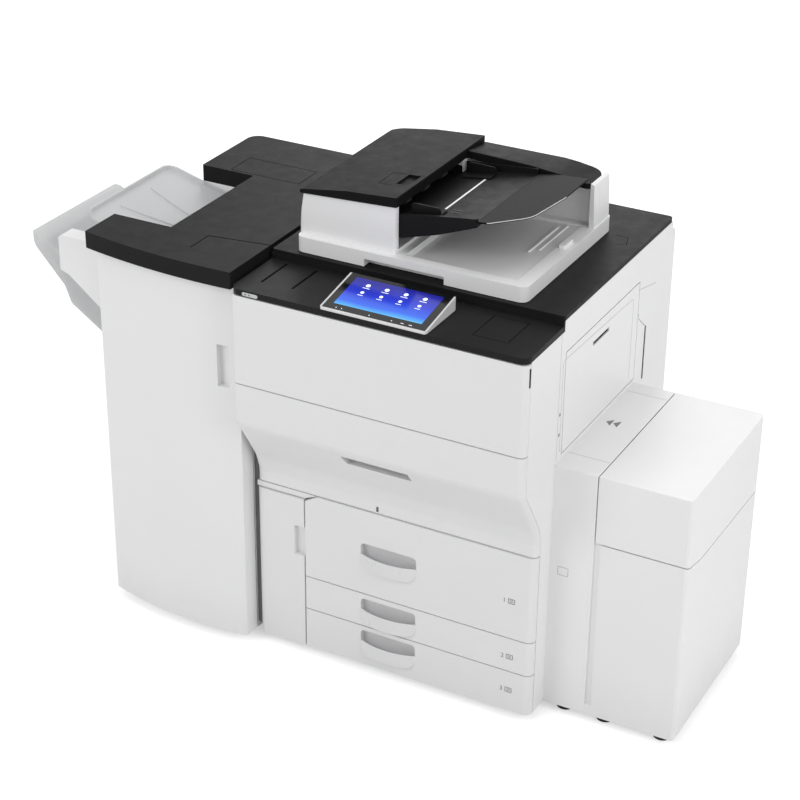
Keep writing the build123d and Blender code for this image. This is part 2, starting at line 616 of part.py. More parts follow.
# ---------------------------------------------------------------- document feeder
def feeder_base():
    """Feeder's lower tray: a shallow slab with a lifting notch, a sloped exit bed and hinge lugs."""
    base = plan(rect(FEEDER_X0, FEEDER_X1, FEEDER_Y0, FEEDER_Y1), FEEDER_Z0, DECK_Z, FEEDER_R)
    base -= block(LIFT_X0, LIFT_X1, FEEDER_Y0 - 1, FEEDER_Y0 + 26, FEEDER_Z0 - 1, LIFT_TOP)
    px0, px1, py0, py1 = pad_rect()
    base -= block(px0, px1, py0, py1, FEEDER_Z0 - 1, FEEDER_Z0 + 6)
    bed = [(330, DECK_Z - 16), (612, DECK_Z - 3), (612, DECK_Z + 1), (330, DECK_Z + 1)]
    base -= front_prism(bed, TOWER_Y0 + 10, RIDGE_Y0 + 10)
    for x in HINGE_XS:
        lug = block(x - 14, x + 14, FEEDER_Y1 - 2, FEEDER_HINGE_Y, FEEDER_HINGE_Z - 9, FEEDER_HINGE_Z + 9)
        lug += shaft_x(FEEDER_HINGE_Y, FEEDER_HINGE_Z, x - 14, x + 14, 9)
        base += lug - shaft_x(FEEDER_HINGE_Y, FEEDER_HINGE_Z, x - 15, x + 15, HINGE_PIN_R + SHAFT_SLIP)
    return base


def pad_rect():
    return 100.0, 600.0, 235.0, 615.0


def platen_pad():
    """White pressing sheet under the feeder."""
    px0, px1, py0, py1 = pad_rect()
    return block(px0, px1, py0, py1, FEEDER_Z0 - 0.5, FEEDER_Z0 + 6)


def feeder_hinges():
    """Two hinge stands on the scanner housing, each with a pin."""
    stands = []
    for x in HINGE_XS:
        stand = block(x - 26, x + 26, FEEDER_HINGE_Y - 14, FEEDER_HINGE_Y + 20, SCANNER_TOP, SCANNER_TOP + 5)
        for cheek in (x - 24, x + 15):
            stand += block(cheek, cheek + 9, FEEDER_HINGE_Y - 10, FEEDER_HINGE_Y + 12,
                           SCANNER_TOP + 4, FEEDER_HINGE_Z + 10)
        stand += shaft_x(FEEDER_HINGE_Y, FEEDER_HINGE_Z, x - 24, x + 24, HINGE_PIN_R)
        stands.append(stand)
    return group(stands)


def tower_profile(right):
    """Side of the feeder's tower seen from the front, leaning in towards its top."""
    return [(FEEDER_X0, DECK_Z), (right, DECK_Z), (right, 1197), (66, 1184), (60, TOWER_CREASE_Z)]


def feeder_tower():
    """Feeder's white housing: cheeks, left wall, rear wall, and a column at the right."""
    cheek = front_prism(tower_profile(TOWER_X1), TOWER_Y0, TOWER_Y0 + CHEEK_T)
    cheek &= plan(rect(FEEDER_X0, TOWER_X1, TOWER_Y0, TOWER_Y0 + CHEEK_T), DECK_Z, 1200,
                  [TOWER_R, TOWER_R, 0, 0])
    rear = front_prism(tower_profile(TOWER_X1), TRAY_BAY_Y1, RIDGE_Y1 - 4)
    left = front_prism([(FEEDER_X0, DECK_Z), (90, DECK_Z), (90, 1185), (66, 1184), (60, TOWER_CREASE_Z)],
                       TOWER_Y0, RIDGE_Y1 - 4)
    left &= plan(rect(FEEDER_X0, 90, TOWER_Y0, RIDGE_Y1 - 4), DECK_Z, 1200, [TOWER_R, 0, 0, TOWER_R])
    floor = block(80, TOWER_X1, TOWER_Y0 + 1, TRAY_BAY_Y1 + 1, DECK_Z, DECK_Z + 8)
    wall = front_prism([(TOWER_X1 - 1, DECK_Z), (RIDGE_X1, DECK_Z), (RIDGE_X1 - 3, 1178),
                        (TOWER_X1 - 1, 1197)], RIDGE_Y0 + 33, RIDGE_Y1 - 4)
    column = front_prism([(COLUMN_X0 + 18, DECK_Z), (RIDGE_X1, DECK_Z), (RIDGE_X1 - 4, 1190),
                          (COLUMN_X0 + 18, 1193)], RIDGE_Y0 + 4, RIDGE_Y1 - 4)
    housing = cheek + rear + left + floor + wall + column
    housing -= block(90, TOWER_X1 - 12, TRAY_BAY_Y1 + 12, RIDGE_Y1 - 14, DECK_Z + 8, 1200)
    housing &= side_prism([(TOWER_Y0, DECK_Z), (RIDGE_Y1, DECK_Z), (RIDGE_Y1, 1200),
                           (TOWER_Y0 + TOWER_LEAN, 1200), (TOWER_Y0, TOWER_CREASE_Z)],
                          FEEDER_X0 - 1, RIDGE_X1 + 1)
    hole = shaft_y(FEED_SHAFT_X, FEED_SHAFT_Z, TOWER_Y0 + 5, TRAY_BAY_Y1 + 8, FEED_SHAFT_R + SHAFT_SLIP)
    return housing - hole


def feeder_ridge():
    """Black rear ridge that runs from the tower to the right-hand column."""
    x0 = TOWER_X1 + REVEAL + 1
    x1 = COLUMN_X0 + 17
    points = [(x0, 1197.5), (x1, 1179.3), (x1, 1192), (560, 1203), (470, 1211), (x0, 1216)]
    ridge = front_prism(points, RIDGE_Y0, RIDGE_Y1)
    ridge &= plan(rect(x0, x1, RIDGE_Y0, RIDGE_Y1), 1100, 1300, [0, 14, 36, 0])
    slope = side_prism([(RIDGE_Y0 + 12, 1230), (RIDGE_Y1 + 1, 1230), (RIDGE_Y1 + 1, 1206),
                        (RIDGE_Y0 + 12, 1215)], x0 - 1, x1 + 1)
    return ridge - slope


def feed_cover():
    """Black cover over the feed rollers, hinged at its left edge, with a latch slot."""
    top = [(54, 1189), (62, 1195), (180, 1213), (TOWER_X1 + 3, 1222)]
    base = [(TOWER_X1 + 3, 1198), (66, 1185), (54, 1185)]
    y0, y1 = TOWER_Y0 - 2, RIDGE_Y1
    lid = front_prism(top + base, y0, y1, [2, 6, 60, 2, 0, 0, 0])
    lid &= plan(rect(54, TOWER_X1 + 3, y0, y1), 1100, 1300, [10, 4, 4, 40])
    lid -= front_prism([(80, 1180), (296, 1190), (296, 1212), (180, 1206), (80, 1192)],
                       TOWER_Y0 + CHEEK_T, TRAY_BAY_Y1)
    lid -= block(266, 298, 302, 366, 1213.5, 1240)
    for groove in ((225, 226.5, 290, 366), (225, 264, 290, 291.5), (225, 264, 364.5, 366)):
        lid -= block(*groove, 1215, 1240)
    for pin_y in (y0, y1):
        lid -= shaft_y(*LID_HINGE, pin_y - 12, pin_y + 12, PIN_R)
    return lid


def tray_line(x):
    """Height of the feeder tray's rim at x: a shallow rise to the right."""
    return 1175.0 + 0.165 * (x - 301.0) - 0.0001 * (x - 301.0) ** 2


def input_tray():
    """Black original tray: a wedge with a raised front rim and a fence slot."""
    xs = (250.0, 301.0, 350.0, 408.0, 460.0, TRAY_HINGE_X)
    top = [(x, tray_line(x)) for x in xs]
    under = [(TRAY_HINGE_X, tray_line(TRAY_HINGE_X) - 21), (414, 1148), (318, 1119), (250, 1119)]
    y0, y1 = TOWER_Y0 + CHEEK_T + 0.5, RIDGE_Y0 - 2
    tray = front_prism(top + under, y0, y1)
    bed = [(x, z - 9) for x, z in top]
    cut = [(249, tray_line(249) - 9)] + bed + [(TRAY_HINGE_X + 1, bed[-1][1])]
    cut += [(TRAY_HINGE_X + 1, 1230), (249, 1230)]
    tray -= front_prism(cut, y0 + 9, y1 + 1)
    tray -= block(240, TOWER_X1 + 2, TRAY_BAY_Y1 - 0.5, y1 + 1, 1100, 1240)
    x0, x1 = TOWER_X1 + 5, TRAY_HINGE_X - 4
    rear_wall = [(x0, tray_line(x0) - 12), (x1, tray_line(x1) - 12), (x1, tray_line(x1) + 4),
                 (x0, tray_line(x0) + 15)]
    tray += front_prism(rear_wall, y1 - 5, y1)
    hollow = [(262, 1124), (318, 1124), (412, 1153), (TRAY_HINGE_X - 12, 1180),
              (TRAY_HINGE_X - 12, 1185), (408, 1178), (262, 1154)]
    tray -= front_prism(hollow, y0 + 6, y1 - 6)
    return tray


def tray_extension():
    """Smoky flip-up extension with a slanted front corner and a curved end."""
    x0, x1 = TRAY_HINGE_X + 1, EXTENSION_X1
    y0, y1 = TOWER_Y0 + CHEEK_T + 1, RIDGE_Y0 - 3
    sheet = plan([(x0, y0), (x0 + 28, y0), (x0 + 103, y0 + 66), (x1, y0 + 200), (x1, y1), (x0, y1)],
                 1190, 1225, [0, 10, 60, 120, 4, 0])
    z = tray_line(TRAY_HINGE_X) - 9
    slab = [(x0, z), (x1, z + 9), (x1, z + 13), (x0, z + 4)]
    sheet &= front_prism(slab, y0 - 1, y1 + 1)
    return sheet + shaft_y(*extension_axis(), y0 + 15, y1 - 15, 2.4)


def extension_axis():
    """Hinge line of the extension, as (x, z)."""
    return TRAY_HINGE_X + 3.5, tray_line(TRAY_HINGE_X) - 7


def fence(y0, y1, foot_y0, foot_y1):
    """Side fence that slides across the feeder tray: an upright with a flat foot."""
    x0, x1 = 330.0, 404.0
    low = [(x0, tray_line(x0) - 8), (x1, tray_line(x1) - 8)]
    upright_face = low + [(x1, tray_line(x1) + 10), (x0 + 12, tray_line(x0) + 22), (x0, tray_line(x0) + 20)]
    foot = low + [(x1, tray_line(x1) - 5.5), (x0, tray_line(x0) - 5.5)]
    wall = front_prism(upright_face, y0, y1, [0, 0, 10, 6, 3])
    return wall + front_prism(foot, foot_y0, foot_y1)


FENCE_Y = (258.0, 548.0)


def front_fence():
    return fence(FENCE_Y[0], FENCE_Y[0] + 4, FENCE_Y[0] + 3, FENCE_Y[0] + 34)


def rear_fence():
    return fence(FENCE_Y[1] - 4, FENCE_Y[1], FENCE_Y[1] - 34, FENCE_Y[1] - 3)


def feed_rollers():
    """Pick-up shaft with three rubber rollers."""
    roller = shaft_y(FEED_SHAFT_X, FEED_SHAFT_Z, TOWER_Y0 + 7, TRAY_BAY_Y1 + 6, FEED_SHAFT_R)
    for y in (300.0, 390.0, 480.0):
        roller += shaft_y(FEED_SHAFT_X, FEED_SHAFT_Z, y, y + 26, FEED_ROLLER_R)
    return roller


# ---------------------------------------------------------------- finisher
def bow_front(x0, x1, y_left, y_mid, y_right, y_back, z0, z1):
    """Prism with a gently bowed front, drawn in plan."""
    arc = ThreePointArc((x0, y_left), ((x0 + x1) / 2, y_mid), (x1, y_right))
    face = make_face([arc, Line((x1, y_right), (x1, y_back)), Line((x1, y_back), (x0, y_back)),
                      Line((x0, y_back), (x0, y_left))])
    return Pos(0, 0, z0) * extrude(face, z1 - z0)


def finisher_top():
    """C-shaped black top: a front arm with a bowed fascia, a stem and a rear arm."""
    top = bow_front(FIN_TOP_X0, FIN_X1, 56, 26, 24, BAY_Y0, FIN_TOP_Z0, FIN_TOP_Z1)
    top += block(BAY_X, FIN_X1, BAY_Y0 - 1, BAY_Y1 + 1, FIN_TOP_Z0, FIN_TOP_Z1)
    top += plan(rect(FIN_X0, FIN_X1, BAY_Y1, FIN_BACK_Y), FIN_TOP_Z0, FIN_TOP_Z1, [3, 0, 6, 32])
    under = FIN_TOP_Z1 - 5
    top -= block(FIN_X0 + 8, FIN_X1 - 4, 70, BAY_Y0 - 4, FIN_TOP_Z0 - 1, under)
    top -= block(BAY_X + 4, FIN_X1 - 4, BAY_Y0 - 5, BAY_Y1 + 5, FIN_TOP_Z0 - 1, under)
    top -= block(FIN_X0 + 12, FIN_X1 - 4, BAY_Y1 + 4, FIN_BACK_Y - 12, FIN_TOP_Z0 - 1, under)
    line = 1.5
    seam = [(-172, BAY_Y0 - 2), (49, 210), (49, 213), (-172, BAY_Y0 + 2)]
    top -= plan(seam, FIN_TOP_Z1 - line, FIN_TOP_Z1 + 1)
    top -= block(-172, -169, 100, BAY_Y0, FIN_TOP_Z1 - line, FIN_TOP_Z1 + 1)
    panel = block(-350, -148, BAY_Y1 + 8, 652, FIN_TOP_Z1 - line, FIN_TOP_Z1 + 1)
    panel -= block(-348, -150, BAY_Y1 + 10, 650, FIN_TOP_Z1 - 3, FIN_TOP_Z1 + 2)
    return top - panel


def finisher_plan(inset):
    """C-shaped outline of the finisher's cabinet, moved inwards by inset."""
    y0 = FIN_DOOR_HINGE_Y + 4 + inset
    x0, x1 = FIN_X0 + inset, FIN_X1 - inset
    bay = BAY_X + inset
    return [(x0, y0), (x1, y0), (x1, FIN_BACK_Y - inset), (x0, FIN_BACK_Y - inset),
            (x0, BAY_Y1 + inset), (bay, BAY_Y1 + inset), (bay, BAY_Y0 - inset),
            (x0, BAY_Y0 - inset)]


def finisher_cabinet():
    """White cabinet with a C-shaped plan, paper exits in the bay's wall and bearing plates."""
    cabinet = plan(finisher_plan(0), FOOT_HEIGHT, FIN_TOP_Z0, [0, 0, 4, 24, 0, 0, 0, 0])
    cabinet -= plan(finisher_plan(WALL), FOOT_HEIGHT + 6, FIN_TOP_Z0 + 1)
    for z in EXIT_ZS:
        cabinet -= block(BAY_X - 1, BAY_X + WALL + 1, 200, 527, z - 16, z + 14)
        for y in (190.0, 532.0):
            cabinet += block(BAY_X + WALL - 1, EXIT_SHAFT_X + 8, y, y + 5, z - 12, z + 12)
        cabinet -= shaft_y(EXIT_SHAFT_X, z, 189, 538, EXIT_SHAFT_R + SHAFT_SLIP)
    for y in (215.0, 495.0):
        cabinet -= block(BAY_X - 1, BAY_X + WALL + 1, y, y + 18, 70, 700)
    return cabinet


def exit_roller(z):
    """Exit shaft with four rollers, just inside the bay's wall."""
    roller = shaft_y(EXIT_SHAFT_X, z, 188, 539, EXIT_SHAFT_R)
    for y in (222.0, 306.0, 391.0, 475.0):
        roller += shaft_y(EXIT_SHAFT_X, z, y, y + 30, EXIT_ROLLER_R)
    return roller


def lower_exit_roller():
    return exit_roller(EXIT_ZS[0])


def upper_exit_roller():
    return exit_roller(EXIT_ZS[1])


def stapler_unit():
    """Stapler behind the bay's wall, below the lower paper exit."""
    x0 = BAY_X + WALL
    unit = block(x0, x0 + 84, 300, 420, 676, 722)
    unit -= block(x0 + 10, x0 + 90, 290, 430, 694, 702)
    return unit


def finisher_door():
    """Bowed front door with end returns and a grip notch in its free edge."""
    z0, z1 = FOOT_HEIGHT + 4, FIN_TOP_Z0 - REVEAL
    y1 = FIN_DOOR_HINGE_Y
    door = bow_front(FIN_X0, FIN_X1, 82, 43, 52, y1, z0, z1)
    door -= bow_front(FIN_X0 + WALL, FIN_X1 - WALL, 86, 47, 56, y1 + 1, z0 + WALL, z1 - WALL)
    notch = block(-74, -38, 40, 66, 724, 840)
    door += notch & bow_front(FIN_X0, FIN_X1, 83, 44, 53, y1, z0, z1)
    door -= block(-71, -41, 30, 62, 727, 837)
    return barrels_z(door, FIN_HINGE, [(z0 + 40, z0 + 80), (z1 - 80, z1 - 40)])


def tray_guard():
    """White side guard of the output bay, on the front column's left side."""
    points = [(FIN_X0, 806), (FIN_X0, 990), (-553, 990), (-560, 983), (-560, 897), (-536, 889),
              (-448, 820)]
    return front_prism(points, FIN_DOOR_HINGE_Y + 4, 152, [0, 0, 5, 5, 6, 8, 0])


def upper_tray_line(x):
    """Height of the upper output tray's surface at x, rising to the left."""
    run = BAY_X - x
    return 957.0 + 0.2 * run + 0.0002 * run ** 2


def upper_tray():
    """Pale output tray fixed in the bay, with a lip round its rear and end, and two ribs."""
    xs = [BAY_X, -340.0, -400.0, -460.0, -500.0, UPPER_TRAY_X0]
    top = [(x, upper_tray_line(x)) for x in xs]
    under = [(x, z - 4) for x, z in reversed(top)]
    base = list(reversed(top))
    y0, y1 = BAY_Y0 + 3, BAY_Y1 - 3
    tray = front_prism(top + under, y0, y1)
    edge = plan(rect(UPPER_TRAY_X0 + LIP_T, BAY_X + 1, y0 - 1, y1 - LIP_T), 900, 1100,
                [UPPER_TRAY_R - LIP_T, 0, 0, UPPER_TRAY_R - LIP_T])
    tray += front_prism([(x, z + LIP_H) for x, z in top] + base, y0, y1) - edge
    bump = front_prism([(x, z + 3) for x, z in top] + base, y0, y1)
    for y_near, y_far in ((330.0, 285.0), (372.0, 417.0)):
        strip = plan([(-300, y_near - 2), (-300, y_near + 2), (-500, y_far + 2), (-500, y_far - 2)],
                     900, 1100)
        tray += strip & bump
    return tray & plan(rect(UPPER_TRAY_X0, BAY_X, y0, y1), 900, 1100, [UPPER_TRAY_R, 0, 0, UPPER_TRAY_R])


def shift_tray():
    """Pale stacking tray that rides up and down in the bay: a shell on a deep carrier."""
    points = [(BAY_X - SHIFT_SLIP, 640), (BAY_X - SHIFT_SLIP, 700), (-690, 936), (-706, 940),
              (-712, 922), (-611, 812), (-593, 766), (-500, 705), (-425, 655)]
    rounds = [0, 0, 20, 6, 8, 20, 20, 20, 10]
    y0, y1 = BAY_Y0 + SHIFT_SLIP, BAY_Y1 - SHIFT_SLIP
    tray = front_prism(points, y0, y1, rounds)
    tray &= plan(rect(-712, BAY_X - SHIFT_SLIP, y0, y1), 600, 1000, [26, 0, 0, 26])
    wall = 5.0
    hollow = [(BAY_X - 10, 630), (BAY_X - 10, 692), (-672, 917), (-608, 822), (-588, 776),
              (-496, 700), (-425, 640)]
    for band in ((y0 + wall, 280.0), (286.0, 438.0), (444.0, y1 - wall)):
        tray -= front_prism(hollow, *band)
    return tray


def finisher_feet():
    return feet([(-380, 140), (-60, 140), (-380, 760), (-60, 760)])


def bridge_cover():
    """Paper bridge between the finisher and the main unit."""
    return block(FIN_X1, 0, 150, 620, 870, 985)


# ---------------------------------------------------------------- large-capacity paper unit
def coupling_unit():
    """Narrow feed cabinet between the main unit and the paper box, with a service hole below."""
    unit = block(MAIN_W, COUPLING_X1, UNIT_Y0, UNIT_Y1, FOOT_HEIGHT, UNIT_TOP)
    unit -= block(MAIN_W + 20, COUPLING_X1 - WALL, UNIT_Y0 + WALL, UNIT_Y1 - WALL,
                  FOOT_HEIGHT + 6, UNIT_TOP - WALL)
    service_hole = block(MAIN_W + 32, COUPLING_X1 - 14, UNIT_Y0 + 70, UNIT_Y1 - 70,
                         FOOT_HEIGHT - 1, FOOT_HEIGHT + 7)
    return unit - service_hole


def cap_skirt(drop):
    """Side view (y, z) of the cap, with its stepped lower edge lowered by drop."""
    y0, y1 = UNIT_Y0, UNIT_Y1
    return [(y0, CAP_FRONT_Z - drop), (y0 + 17, CAP_FRONT_Z - 8 - drop), (y0 + 89, CAP_SIDE_Z - drop),
            (y1, CAP_BACK_Z - drop), (y1, UNIT_TOP), (y0, UNIT_TOP)]


def paper_unit_cap():
    """Hinged cap of the paper box: a lid with deep skirts on three sides."""
    x0, x1 = COUPLING_X1 + REVEAL, UNIT_X1
    cap = side_prism(cap_skirt(0), x0, x1)
    cap -= block(x0 - 1, x1 - WALL, UNIT_Y0 + WALL, UNIT_Y1 - WALL, 400, UNIT_TOP - WALL - 1)
    cap &= plan(rect(x0, x1, UNIT_Y0, UNIT_Y1), 400, UNIT_TOP + 1, [0, 8, 8, 0])
    front_edge = block(x0 - 1, x1 - 12, UNIT_Y0 - 1, UNIT_Y0 + WALL + 1, 400, CAP_FRONT_Z)
    cap -= front_edge
    spans = [(UNIT_Y0 + 30, UNIT_Y0 + 70), (UNIT_Y1 - 70, UNIT_Y1 - 30)]
    return barrels_y(cap, CAP_HINGE, spans)


def paper_unit_cabinet():
    """Paper box: an outer skin below the cap and a collar that the cap closes over."""
    x0, x1 = COUPLING_X1, UNIT_X1
    skin_top = CAP_FRONT_Z + 40
    outer = plan(rect(x0, x1, UNIT_Y0, UNIT_Y1), FOOT_HEIGHT, skin_top, [0, 8, 8, 0])
    outer -= side_prism(cap_skirt(REVEAL), x0 - 1, x1 + 1)
    collar = block(x0, x1 - COLLAR_INSET, UNIT_Y0 + COLLAR_INSET, UNIT_Y1 - COLLAR_INSET,
                   FOOT_HEIGHT + 1, UNIT_TOP - 12)
    box = outer + collar
    box -= block(x0 + WALL, x1 - COLLAR_INSET - WALL, UNIT_Y0 + COLLAR_INSET + WALL,
                 UNIT_Y1 - COLLAR_INSET - WALL, FOOT_HEIGHT + 6, UNIT_TOP + 1)
    return box - block(x0 - 1, x0 + 16, UNIT_Y0 - 1, UNIT_Y0 + 5, 51, 500)


def paper_lift():
    """Tray plate that raises the paper stack in the box."""
    inset = COLLAR_INSET + WALL + 3
    return block(COUPLING_X1 + WALL + 3, UNIT_X1 - inset, UNIT_Y0 + inset, UNIT_Y1 - inset, 60, 64)


def paper_unit_feet():
    x0, x1 = COUPLING_X1 + 40, UNIT_X1 - 40
    y0, y1 = UNIT_Y0 + 40, UNIT_Y1 - 40
    places = [(x0, y0), (x1, y0), (x0, y1), (x1, y1)]
    return feet(places + [((MAIN_W + COUPLING_X1) / 2 - 10, y) for y in (y0, y1)])


# ---------------------------------------------------------------- assembly
def make_nodes():
    """Every sub-part by name, in the working frame."""
    makers = [main_frame, left_cover, right_cover, rear_cover, power_inlet, corner_tab,
              upper_front_cover, lower_front_cover, left_front_door, right_side_door,
              shelf_cover, scanner_housing, platen_glass, scan_carriage, toner_bottles,
              drum_units, transfer_belt_unit, fuser_unit, main_feet,
              panel_mount, control_panel, touch_screen,
              feeder_hinges, feeder_base, platen_pad, feeder_tower, feeder_ridge, feed_cover,
              input_tray, tray_extension, front_fence, rear_fence, feed_rollers,
              finisher_cabinet, finisher_top, finisher_door, tray_guard, upper_tray,
              shift_tray, upper_exit_roller, lower_exit_roller, stapler_unit, finisher_feet,
              bridge_cover, coupling_unit, paper_unit_cabinet, paper_unit_cap, paper_lift,
              paper_unit_feet]
    nodes = {maker.__name__: maker() for maker in makers}
    for index in range(3):
        number = 3 - index
        nodes[f"tray_{number}_front"] = tray_front(index)
        nodes[f"tray_{number}_grip"] = tray_grip(index)
        nodes[f"tray_{number}_box"] = tray_box(index)
        if number != 1:
            nodes[f"tray_{number}_lift_plate"] = lift_plate(index)
    return nodes


def origin_of(nodes):
    """Centre of the whole object's footprint on the floor, in the working frame."""
    boxes = [shape.bounding_box() for shape in nodes.values()]
    x = (min(b.min.X for b in boxes) + max(b.max.X for b in boxes)) / 2
    y = (min(b.min.Y for b in boxes) + max(b.max.Y for b in boxes)) / 2
    return Vector(x, y, min(b.min.Z for b in boxes))


def main():
    os.makedirs("parts", exist_ok=True)
    nodes = make_nodes()
    origin = origin_of(nodes)
    print("nodes", len(nodes), "origin", origin)
    for name, shape in nodes.items():
        export_step(Pos(-origin.X, -origin.Y, -origin.Z) * shape, f"parts/{name}.step")


if __name__ == "__main__":
    main()
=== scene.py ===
# %% [markdown]
# # A floor-standing colour photocopier
#
# The machine is three cabinets in a row: a finisher that sorts and staples on the left, the main
# unit with its scanner and document feeder in the middle, and a deep paper box on the right. Its
# solid parts come from the CAD model. This file gives them their finishes, adds the small parts
# that are printed, moulded in or fitted on, and sets up a plain studio.

# %% Load the CAD frame
import bpy
import bmesh
import math
from mathutils import Matrix, Vector


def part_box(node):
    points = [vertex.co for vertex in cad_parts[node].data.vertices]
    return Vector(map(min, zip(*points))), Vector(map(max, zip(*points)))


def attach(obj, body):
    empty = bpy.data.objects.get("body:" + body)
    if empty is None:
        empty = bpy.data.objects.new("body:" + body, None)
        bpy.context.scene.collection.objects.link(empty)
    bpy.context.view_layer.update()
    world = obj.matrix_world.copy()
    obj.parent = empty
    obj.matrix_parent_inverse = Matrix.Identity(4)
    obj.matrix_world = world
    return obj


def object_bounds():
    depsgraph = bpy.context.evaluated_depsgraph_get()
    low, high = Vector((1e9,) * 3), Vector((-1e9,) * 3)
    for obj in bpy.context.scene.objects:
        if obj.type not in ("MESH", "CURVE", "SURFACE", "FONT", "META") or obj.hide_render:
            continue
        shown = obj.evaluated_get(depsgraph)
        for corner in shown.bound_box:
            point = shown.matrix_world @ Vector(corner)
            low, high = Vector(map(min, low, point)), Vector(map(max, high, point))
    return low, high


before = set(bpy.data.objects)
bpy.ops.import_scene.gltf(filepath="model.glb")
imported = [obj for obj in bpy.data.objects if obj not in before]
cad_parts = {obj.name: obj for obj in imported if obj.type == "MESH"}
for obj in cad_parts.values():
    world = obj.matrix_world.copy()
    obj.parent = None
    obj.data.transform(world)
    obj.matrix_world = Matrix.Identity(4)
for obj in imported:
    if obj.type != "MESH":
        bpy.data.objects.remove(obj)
cad_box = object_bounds()

# %% [markdown]
# ## Where things are
#
# A maker of such a machine measures from the front left corner of the main unit, in millimetres.
# The frame is in metres, from the middle of the whole footprint. One function goes from the
# maker's figures to the frame, and one reads a CAD node's extents back as the maker's figures, so
# that each added part is placed from the edges of the part that carries it.

# %% Millimetres from the main unit's front left corner
MM = 0.001
CORNER_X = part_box("left_cover")[0][0]
CORNER_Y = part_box("upper_front_cover")[0][1]


def at(x, y, z):
    """Point in the frame for a place in millimetres."""
    return Vector((CORNER_X + x * MM, CORNER_Y + y * MM, z * MM))


def span(node):
    """Low and high corner of a CAD node, as places in millimetres."""
    low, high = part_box(node)
    corner = Vector((CORNER_X, CORNER_Y, 0))
    return (Vector(low) - corner) / MM, (Vector(high) - corner) / MM


print("main unit is", round(span("right_cover")[1].x, 1), "mm wide")

# %% [markdown]
# ## The camera
#
# The machine is seen from the front right and from above, through a long lens, so its upright
# edges stay nearly upright. The camera is built from its turn, its dip and a slight roll.

# %% Camera
TURN, DIP, ROLL = math.radians(28.21), math.radians(28.13), math.radians(0.49)
look = Vector((-math.sin(TURN) * math.cos(DIP), math.cos(TURN) * math.cos(DIP), -math.sin(DIP)))
level = Vector((math.cos(TURN), math.sin(TURN), 0))
rise = level.cross(look)
right = math.cos(ROLL) * level + math.sin(ROLL) * rise
up = math.cos(ROLL) * rise - math.sin(ROLL) * level
camera = bpy.data.objects.new("camera", bpy.data.cameras.new("camera"))
bpy.context.scene.collection.objects.link(camera)
CAMERA_PLACE = at(2369.4, -3624.3, 3038.2)
camera.matrix_world = Matrix.Translation(CAMERA_PLACE) @ Matrix(
    (right, up, -look)).transposed().to_4x4()
camera.data.lens = 94.01
camera.data.sensor_width = 36
camera.data.shift_x = 0.0085
camera.data.clip_end = 200
bpy.context.scene.camera = camera
print("camera", round((camera.location - at(375, 425, 600)).length, 2), "m from the main unit")

# %% [markdown]
# ## Colours and nodes
#
# Colours are written as the sRGB values that a screen shows, and turned to the linear values that
# the renderer adds up. One small function makes a node, sets it and links it, so that a finish
# reads as a short list of what it is made of.

# %% Colour and node helpers
def tint(code):
    """Linear colour for an sRGB hex code."""
    channels = [int(code[i:i + 2], 16) / 255 for i in (1, 3, 5)]
    linear = [c / 12.92 if c <= 0.04045 else ((c + 0.055) / 1.055) ** 2.4 for c in channels]
    return (*linear, 1.0)


def add(tree, kind, sockets=None, **settings):
    """Adds one node: settings are its options, sockets its input values or links."""
    made = tree.nodes.new(kind)
    for key, value in settings.items():
        setattr(made, key, value)
    for key, value in (sockets or {}).items():
        if isinstance(value, bpy.types.NodeSocket):
            tree.links.new(value, made.inputs[key])
        else:
            made.inputs[key].default_value = value
    return made


def blank(name):
    """A material with an empty tree and its output node."""
    material = bpy.data.materials.new(name)
    material.use_nodes = True
    material.node_tree.nodes.clear()
    return material, material.node_tree, add(material.node_tree, "ShaderNodeOutputMaterial")


def per_mm(size):
    """Texture scale whose features are about this many millimetres across."""
    return 1.0 / (size * MM)


# %% [markdown]
# ## The studio
#
# A plain white sweep: a pale floor that keeps the machine's shadow, soft light from all round, and
# four large lamps that only shape it. The background is white to the camera and in reflections,
# through Light Path, so the lamps can stay at the level at which a colour renders as written.

# %% World
world = bpy.data.worlds.new("studio")
bpy.context.scene.world = world
world.use_nodes = True
sky = world.node_tree
sky.nodes.clear()


def seen(tree):
    """1 for what the camera, a reflection or a glass looks at directly, else 0."""
    path = add(tree, "ShaderNodeLightPath")
    first = add(tree, "ShaderNodeMath", {0: path.outputs["Is Camera Ray"],
                                         1: path.outputs["Is Glossy Ray"]}, operation="MAXIMUM")
    return add(tree, "ShaderNodeMath", {0: first.outputs[0],
                                        1: path.outputs["Is Transmission Ray"]},
               operation="MAXIMUM").outputs[0]


soft = add(sky, "ShaderNodeBackground", {"Color": tint("#FFFFFF"), "Strength": 0.58})
white = add(sky, "ShaderNodeBackground", {"Color": tint("#FFFFFF"), "Strength": 1.0})
both = add(sky, "ShaderNodeMixShader", {0: seen(sky), 1: soft.outputs[0], 2: white.outputs[0]})
add(sky, "ShaderNodeOutputWorld", {"Surface": both.outputs[0]})
bpy.context.scene.view_settings.view_transform = "Standard"

